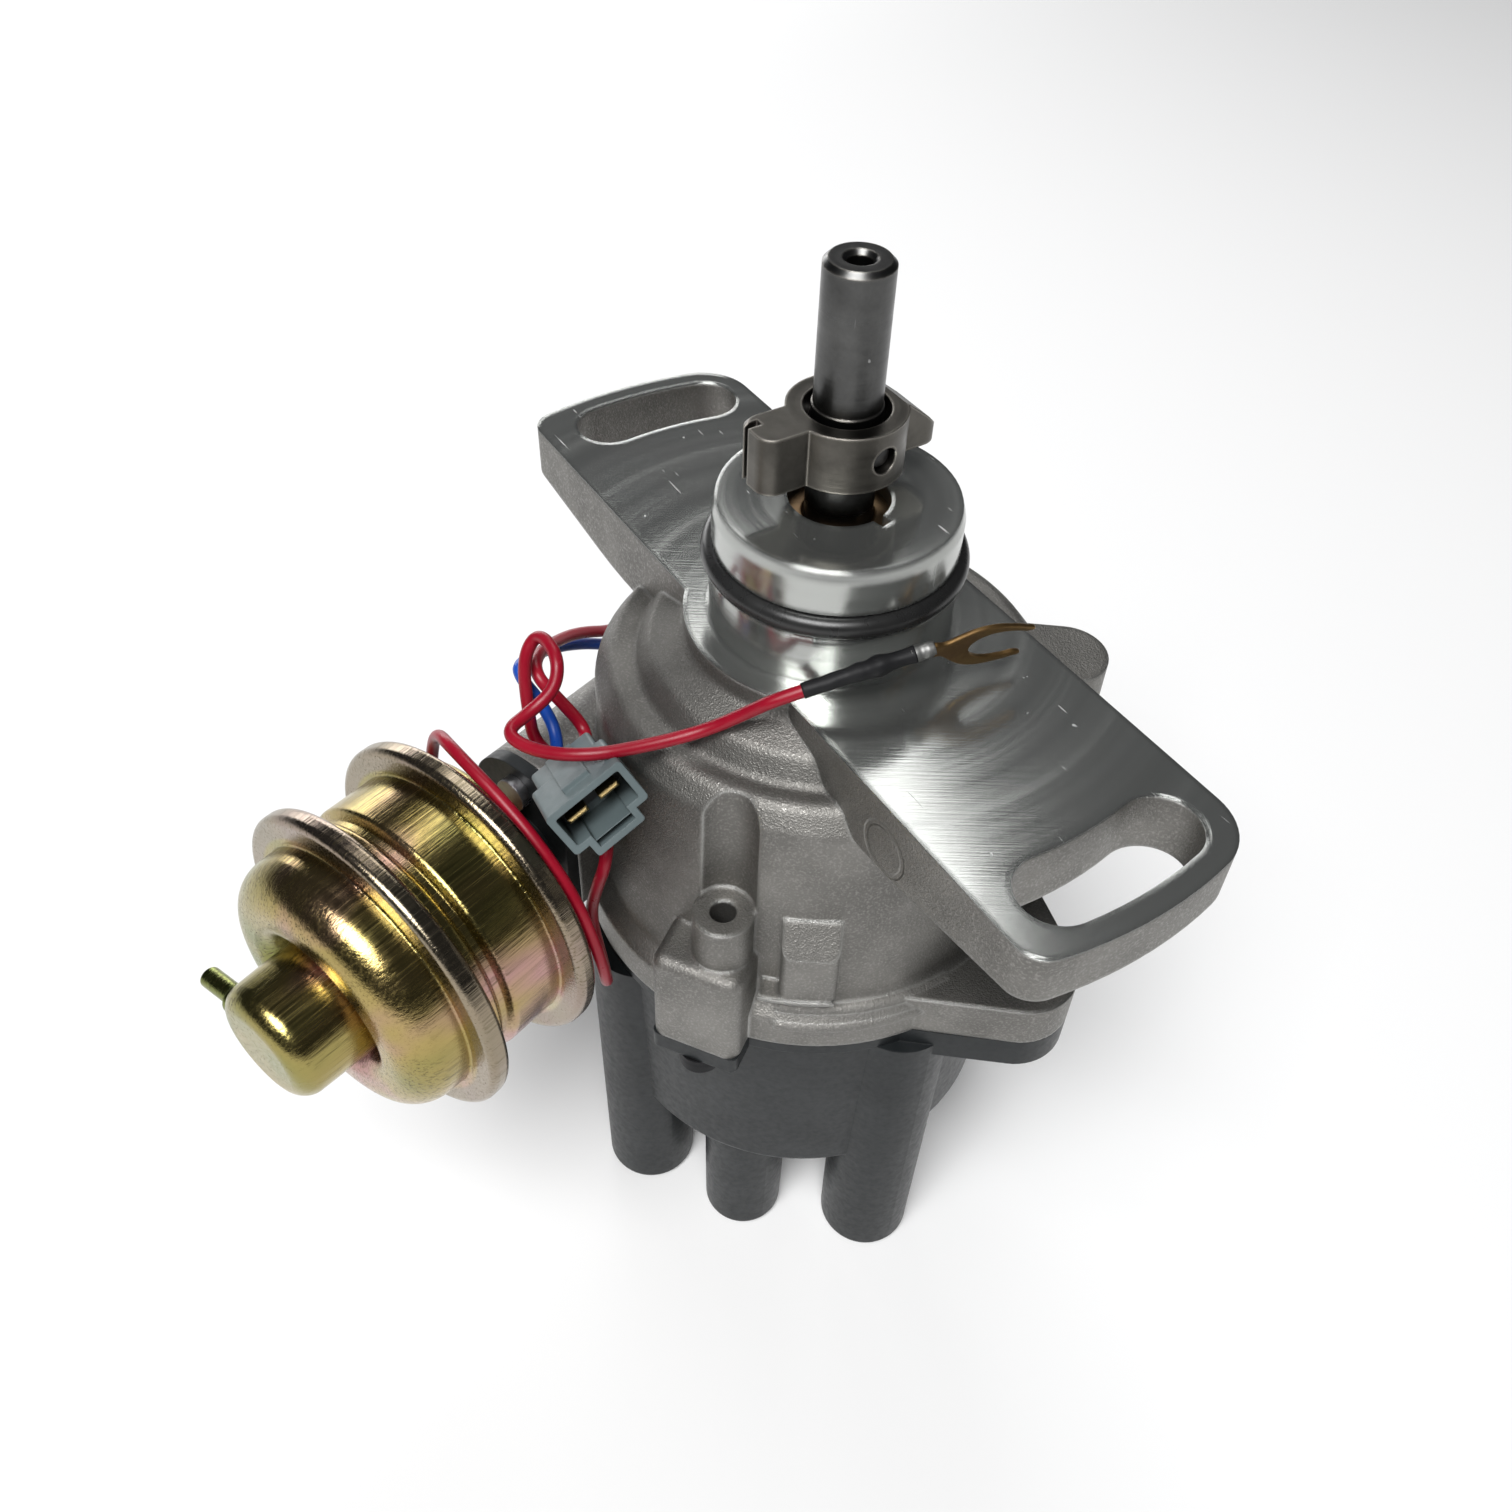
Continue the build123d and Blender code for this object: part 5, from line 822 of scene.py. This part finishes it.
# --- springs
def make_coil_group():
    """Geometry nodes for a coil of round wire that rises along Z from the origin."""
    group = bpy.data.node_groups.new("coil_spring", "GeometryNodeTree")
    group.interface.new_socket("Geometry", in_out="INPUT", socket_type="NodeSocketGeometry")
    for label in ("Turns", "Length", "Coil Radius", "Wire Radius"):
        group.interface.new_socket(label, in_out="INPUT", socket_type="NodeSocketFloat")
    group.interface.new_socket("Material", in_out="INPUT", socket_type="NodeSocketMaterial")
    group.interface.new_socket("Geometry", in_out="OUTPUT", socket_type="NodeSocketGeometry")
    start = group.nodes.new("NodeGroupInput")
    end = group.nodes.new("NodeGroupOutput")
    spiral = add_node(
        group, "GeometryNodeCurveSpiral",
        links=[
            ("Rotations", start.outputs["Turns"]), ("Start Radius", start.outputs["Coil Radius"]),
            ("End Radius", start.outputs["Coil Radius"]), ("Height", start.outputs["Length"]),
        ],
        values=[("Resolution", 28)],
    )
    wire = add_node(
        group, "GeometryNodeCurvePrimitiveCircle", links=[("Radius", start.outputs["Wire Radius"])],
        values=[("Resolution", 12)],
    )
    swept = add_node(
        group, "GeometryNodeCurveToMesh",
        links=[("Curve", spiral.outputs["Curve"]), ("Profile Curve", wire.outputs["Curve"])],
        values=[("Fill Caps", True)],
    )
    real = add_node(group, "GeometryNodeRealizeInstances", links=[("Geometry", swept.outputs["Mesh"])])
    clad = add_node(
        group, "GeometryNodeSetMaterial",
        links=[("Geometry", real.outputs["Geometry"]), ("Material", start.outputs["Material"])],
    )
    group.links.new(clad.outputs["Geometry"], end.inputs["Geometry"])
    return group


def coil_mesh(turns, length, coil_radius, wire_radius, material):
    """One coil as a plain mesh, straight from the geometry nodes."""
    group = bpy.data.node_groups.get("coil_spring") or make_coil_group()
    holder = new_object("coil_holder", bpy.data.meshes.new("coil_seed"))
    modifier = holder.modifiers.new("coil_spring", "NODES")
    modifier.node_group = group
    values = {
        "Turns": float(turns), "Length": length, "Coil Radius": coil_radius, "Wire Radius": wire_radius,
        "Material": material,
    }
    for socket in group.interface.items_tree:
        if socket.in_out == "INPUT" and socket.name in values:
            modifier[socket.identifier] = values[socket.name]
    evaluated = holder.evaluated_get(bpy.context.evaluated_depsgraph_get())
    coil = bpy.data.meshes.new_from_object(evaluated)
    holder.modifiers.remove(modifier)
    bpy.data.objects.remove(holder)
    if not coil.vertices:
        raise RuntimeError("a spring coil came out empty")
    return coil


def spring_piece(name, node, coils, turns, wire_radius, material):
    """Wind coils in the room of a CAD spring. A coil is its foot, its way and a test of points."""
    mesh = bmesh.new()
    for foot, way, belongs in coils:
        places = [vertex.co for vertex in nodes[node].data.vertices if belongs(vertex.co)]
        if not places:
            raise RuntimeError(f"{node} has no points where its coil should be")
        along = [(place - foot).dot(way) for place in places]
        reach = max(((place - foot) - way * (place - foot).dot(way)).length for place in places)
        low = min(along) + wire_radius
        length = max(along) - wire_radius - low
        coil = coil_mesh(turns, length, reach - wire_radius, wire_radius, material)
        turn = way.to_track_quat("Z", "Y").to_matrix().to_4x4()
        coil.transform(Matrix.Translation(foot + way * low) @ turn)
        mesh.from_mesh(coil)
        bpy.data.meshes.remove(coil)
    for face in mesh.faces:
        face.smooth = True
    return mesh_piece(name, mesh, [material])


class OBJECT_OT_distributor_springs(bpy.types.Operator):
    """Wind the governor, vacuum can and carbon brush springs"""

    bl_idname = "object.distributor_springs"
    bl_label = "Springs"

    def execute(self, context):
        wire = steel_material("spring_wire", (0.45, 0.45, 0.46), 0.3)
        up = Vector((0.0, 0.0, 1.0))
        can_way = Vector((math.cos(CAN_AXIS_TURN), math.sin(CAN_AXIS_TURN), 0.0))
        can = [(CAN_FOOT * MM, can_way, lambda place: True)]
        brush_foot = Vector((0.0, 0.0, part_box("brush_spring")[0][2]))
        brush = [(brush_foot, up, lambda place: True)]
        # For each node: piece, body, coils, turns and wire radius
        springs = {
            "governor_springs": ("governor_spring_coils", "drive", self.governor_coils(), 9, 0.00032),
            "main_spring": ("main_spring_coil", "rod", can, 6, 0.0006),
            "sub_spring": ("sub_spring_coil", "housing", can, 5, 0.0005),
            "brush_spring": ("brush_spring_coil", "housing", brush, 7, 0.0002),
        }
        for node, (name, body, coils, turns, wire_radius) in springs.items():
            piece = spring_piece(name, node, coils, turns, wire_radius, wire)
            stand_for(piece, node, body)
            if node == "brush_spring":
                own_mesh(piece)
        return {"FINISHED"}

    def governor_coils(self):
        """The two governor coils, each from its pin towards its post."""
        low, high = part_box("governor_springs")
        level = (low[2] + high[2]) / 2
        post_x, post_y = GOVERNOR_POST
        coils = []
        for side, belongs in ((1, lambda place: place.x > 0), (-1, lambda place: place.x < 0)):
            pin = Vector((side * GOVERNOR_PIN_X, 0.0, level))
            post = Vector((side * post_x, side * post_y, level))
            coils.append((pin, (post - pin).normalized(), belongs))
        return coils


# --- metal and plastic parts
class OBJECT_OT_distributor_housing(bpy.types.Operator):
    """Finish the cast housing"""

    bl_idname = "object.distributor_housing"
    bl_label = "Housing"

    def execute(self, context):
        dress(["distributor_housing"], casting_material(context.scene.distributor_finish))
        return {"FINISHED"}


class OBJECT_OT_distributor_drive(bpy.types.Operator):
    """Finish the shaft, coupling, seals and governor"""

    bl_idname = "object.distributor_drive"
    bl_label = "Drive and Governor"

    def execute(self, context):
        shaft = steel_material("shaft_steel", (0.108, 0.108, 0.106), 0.30, ring_strength=0.5, edge_wear_and_highlight_share=0.5)
        coupling = steel_material(
            "coupling_steel", (0.122, 0.115, 0.102), 0.38, ring_strength=0.6, edge_wear_and_highlight_share=0.9,
        )
        bronze = brass_material("sintered_bronze", (0.30, 0.20, 0.11), (0.12, 0.08, 0.05))
        o_ring = plastic_material("o_ring_rubber", (0.012, 0.012, 0.012), 0.28, grain=0.1, scale=400.0)
        rubber = plastic_material("soft_rubber", (0.02, 0.02, 0.02), 0.55, grain=0.3, scale=700.0)
        dress(["drive_shaft"], shaft)
        dress(["drive_coupling"], coupling)
        dress(["cap_screws"], steel_material("black_screws", (0.03, 0.03, 0.032), 0.45))
        dress(["coupling_pin"], steel_material("pin_steel", (0.08, 0.08, 0.08), 0.4))
        dress(["upper_bush", "lower_bush"], bronze)
        dress(["spigot_o_ring"], o_ring)
        dress(["shaft_oil_seal", "cap_seal", "wire_grommet", "main_diaphragm", "sub_diaphragm"], rubber)
        dress(
            [
                "shaft_thrust_washer", "governor_plate", "governor_weight_a", "governor_weight_b",
                "weight_clips", "advance_plate", "rotor_shaft", "rotor_shaft_screw", "signal_rotor",
                "base_plate_screws", "plate_clip", "advance_pin", "pickup_core", "pickup_magnet",
                "pickup_screws", "main_diaphragm_cup", "sub_diaphragm_cup", "vacuum_rod", "bracket_screws",
                "cap_electrodes",
            ],
            steel_material("plain_steel", (0.42, 0.42, 0.43), 0.35),
        )
        return {"FINISHED"}


class OBJECT_OT_distributor_can(bpy.types.Operator):
    """Finish the vacuum can and the plates in yellow zinc"""

    bl_idname = "object.distributor_can"
    bl_label = "Vacuum Can"

    def execute(self, context):
        dress(
            [
                "vacuum_rear_shell", "vacuum_mid_drum", "vacuum_front_dome", "vacuum_front_nipple",
                "vacuum_rear_nipple", "pickup_base_plate", "pickup_plate",
            ],
            zinc_material(context.scene.distributor_finish),
        )
        return {"FINISHED"}


class OBJECT_OT_distributor_cap(bpy.types.Operator):
    """Finish the cap, rotor arm and pickup mouldings"""

    bl_idname = "object.distributor_cap"
    bl_label = "Cap and Rotor"

    def execute(self, context):
        dress(
            ["distributor_cap", "rotor_arm", "dust_cover", "pickup_coil", "vacuum_bracket"],
            plastic_material("cap_moulding", (0.009, 0.011, 0.012), 0.40, grain=0.12, scale=800.0, shine=0.28),
        )
        dress(["carbon_brush"], plastic_material("brush_carbon", (0.03, 0.03, 0.03), 0.6))
        dress(
            ["rotor_contact", "coil_bridge_strip"],
            brass_material("strip_brass", (0.70, 0.50, 0.22), (0.45, 0.32, 0.14)),
        )
        return {"FINISHED"}


class OBJECT_OT_distributor_connector(bpy.types.Operator):
    """Finish the connector and its blades"""

    bl_idname = "object.distributor_connector"
    bl_label = "Connector"

    def execute(self, context):
        dress(["connector_housing"], connector_material())
        dress(["connector_terminals"], brass_material("blade_brass", (0.42, 0.31, 0.14), (0.20, 0.15, 0.07)))
        return {"FINISHED"}


# --- stage
class OBJECT_OT_distributor_stage(bpy.types.Operator):
    """Build the floor, the soft lights and the camera"""

    bl_idname = "object.distributor_stage"
    bl_label = "Stage"

    def execute(self, context):
        stage = context.scene.distributor_stage
        self.lay_floor(stage.floor_size / 2)
        self.light_room(context, stage.room_light)
        self.soft_box("key_soft_box", stage.key_power, **KEY_BOX)
        window = self.soft_box("window_soft_box", stage.window_power, **WINDOW_BOX)
        window.rotation_euler = (0.0, 0.0, WINDOW_BOX_TURN)
        self.soft_box("rim_soft_box", stage.key_power * RIM_SHARE, **RIM_BOX)
        self.set_camera(context, stage.lens)
        context.scene.view_settings.view_transform = "Standard"
        return {"FINISHED"}

    def lay_floor(self, half):
        """A square sheet of matt paper."""
        mesh = bpy.data.meshes.new("studio_floor")
        corners = [(x * half, y * half, FLOOR_Z) for x, y in ((-1, -1), (1, -1), (1, 1), (-1, 1))]
        mesh.from_pydata(corners, [], [(0, 1, 2, 3)])
        paper = bpy.data.materials.new("studio_paper")
        paper.use_nodes = True
        shader = paper.node_tree.nodes["Principled BSDF"]
        shader.inputs["Base Color"].default_value = (*PAPER, 1.0)
        shader.inputs["Roughness"].default_value = 0.9
        mesh.materials.append(paper)
        new_object("studio_floor", mesh)

    def light_room(self, context, strength):
        """A dim, even light from all sides."""
        world = bpy.data.worlds.new("studio_world")
        world.use_nodes = True
        background = world.node_tree.nodes["Background"]
        background.inputs["Color"].default_value = (*ROOM_SKY, 1.0)
        background.inputs["Strength"].default_value = strength
        context.scene.world = world

    def soft_box(self, name, power, place, size, target):
        """A rectangular area light that faces a target."""
        light = bpy.data.lights.new(name, "AREA")
        light.shape = "RECTANGLE"
        light.size, light.size_y = size
        light.energy = power
        lamp = new_object(name, light)
        lamp.location = place
        aim = Vector(target) - Vector(place)
        lamp.rotation_euler = aim.to_track_quat("-Z", "Y").to_euler()
        return lamp

    def set_camera(self, context, focal_length):
        """The camera, looking down at the flange and the can."""
        lens = bpy.data.cameras.new("studio_camera")
        lens.lens = focal_length
        lens.sensor_width = SENSOR_WIDTH_MM
        camera = new_object("studio_camera", lens)
        turn = Matrix((CAMERA_RIGHT, CAMERA_UP, CAMERA_RIGHT.cross(CAMERA_UP))).transposed()
        camera.matrix_world = Matrix.Translation(CAMERA_PLACE) @ turn.to_4x4()
        context.scene.camera = camera


class VIEW3D_PT_distributor(bpy.types.Panel):
    """Settings and steps of the ignition distributor"""

    bl_label = "Ignition Distributor"
    bl_idname = "VIEW3D_PT_distributor"
    bl_space_type = "VIEW_3D"
    bl_region_type = "UI"
    bl_category = "Distributor"

    def draw(self, context):
        for name, settings in SETTINGS.items():
            box = self.layout.box()
            box.label(text=settings.__doc__)
            for prop in settings.__annotations__:
                box.prop(getattr(context.scene, name), prop)
        for operator in OPERATORS:
            self.layout.operator(operator.bl_idname)


OPERATORS = (
    OBJECT_OT_distributor_stage,
    OBJECT_OT_distributor_leads,
    OBJECT_OT_distributor_springs,
    OBJECT_OT_distributor_housing,
    OBJECT_OT_distributor_drive,
    OBJECT_OT_distributor_can,
    OBJECT_OT_distributor_cap,
    OBJECT_OT_distributor_connector,
)
SETTINGS = {
    "distributor_leads": DistributorLeadSettings,
    "distributor_finish": DistributorFinishSettings,
    "distributor_stage": DistributorStageSettings,
}
CLASSES = (*SETTINGS.values(), *OPERATORS, VIEW3D_PT_distributor)


def register():
    """Register the classes and hang their settings on the scene."""
    for cls in CLASSES:
        bpy.utils.register_class(cls)
    for name, settings in SETTINGS.items():
        setattr(bpy.types.Scene, name, bpy.props.PointerProperty(type=settings))


def unregister():
    """Take the settings and classes away again."""
    for name in SETTINGS:
        delattr(bpy.types.Scene, name)
    for cls in reversed(CLASSES):
        bpy.utils.unregister_class(cls)


def main():
    """Build every piece in order."""
    register()
    bpy.ops.object.distributor_stage()
    bpy.ops.object.distributor_leads()
    bpy.ops.object.distributor_springs()
    bpy.ops.object.distributor_housing()
    bpy.ops.object.distributor_drive()
    bpy.ops.object.distributor_can()
    bpy.ops.object.distributor_cap()
    bpy.ops.object.distributor_connector()


if __name__ == "__main__":
    main()
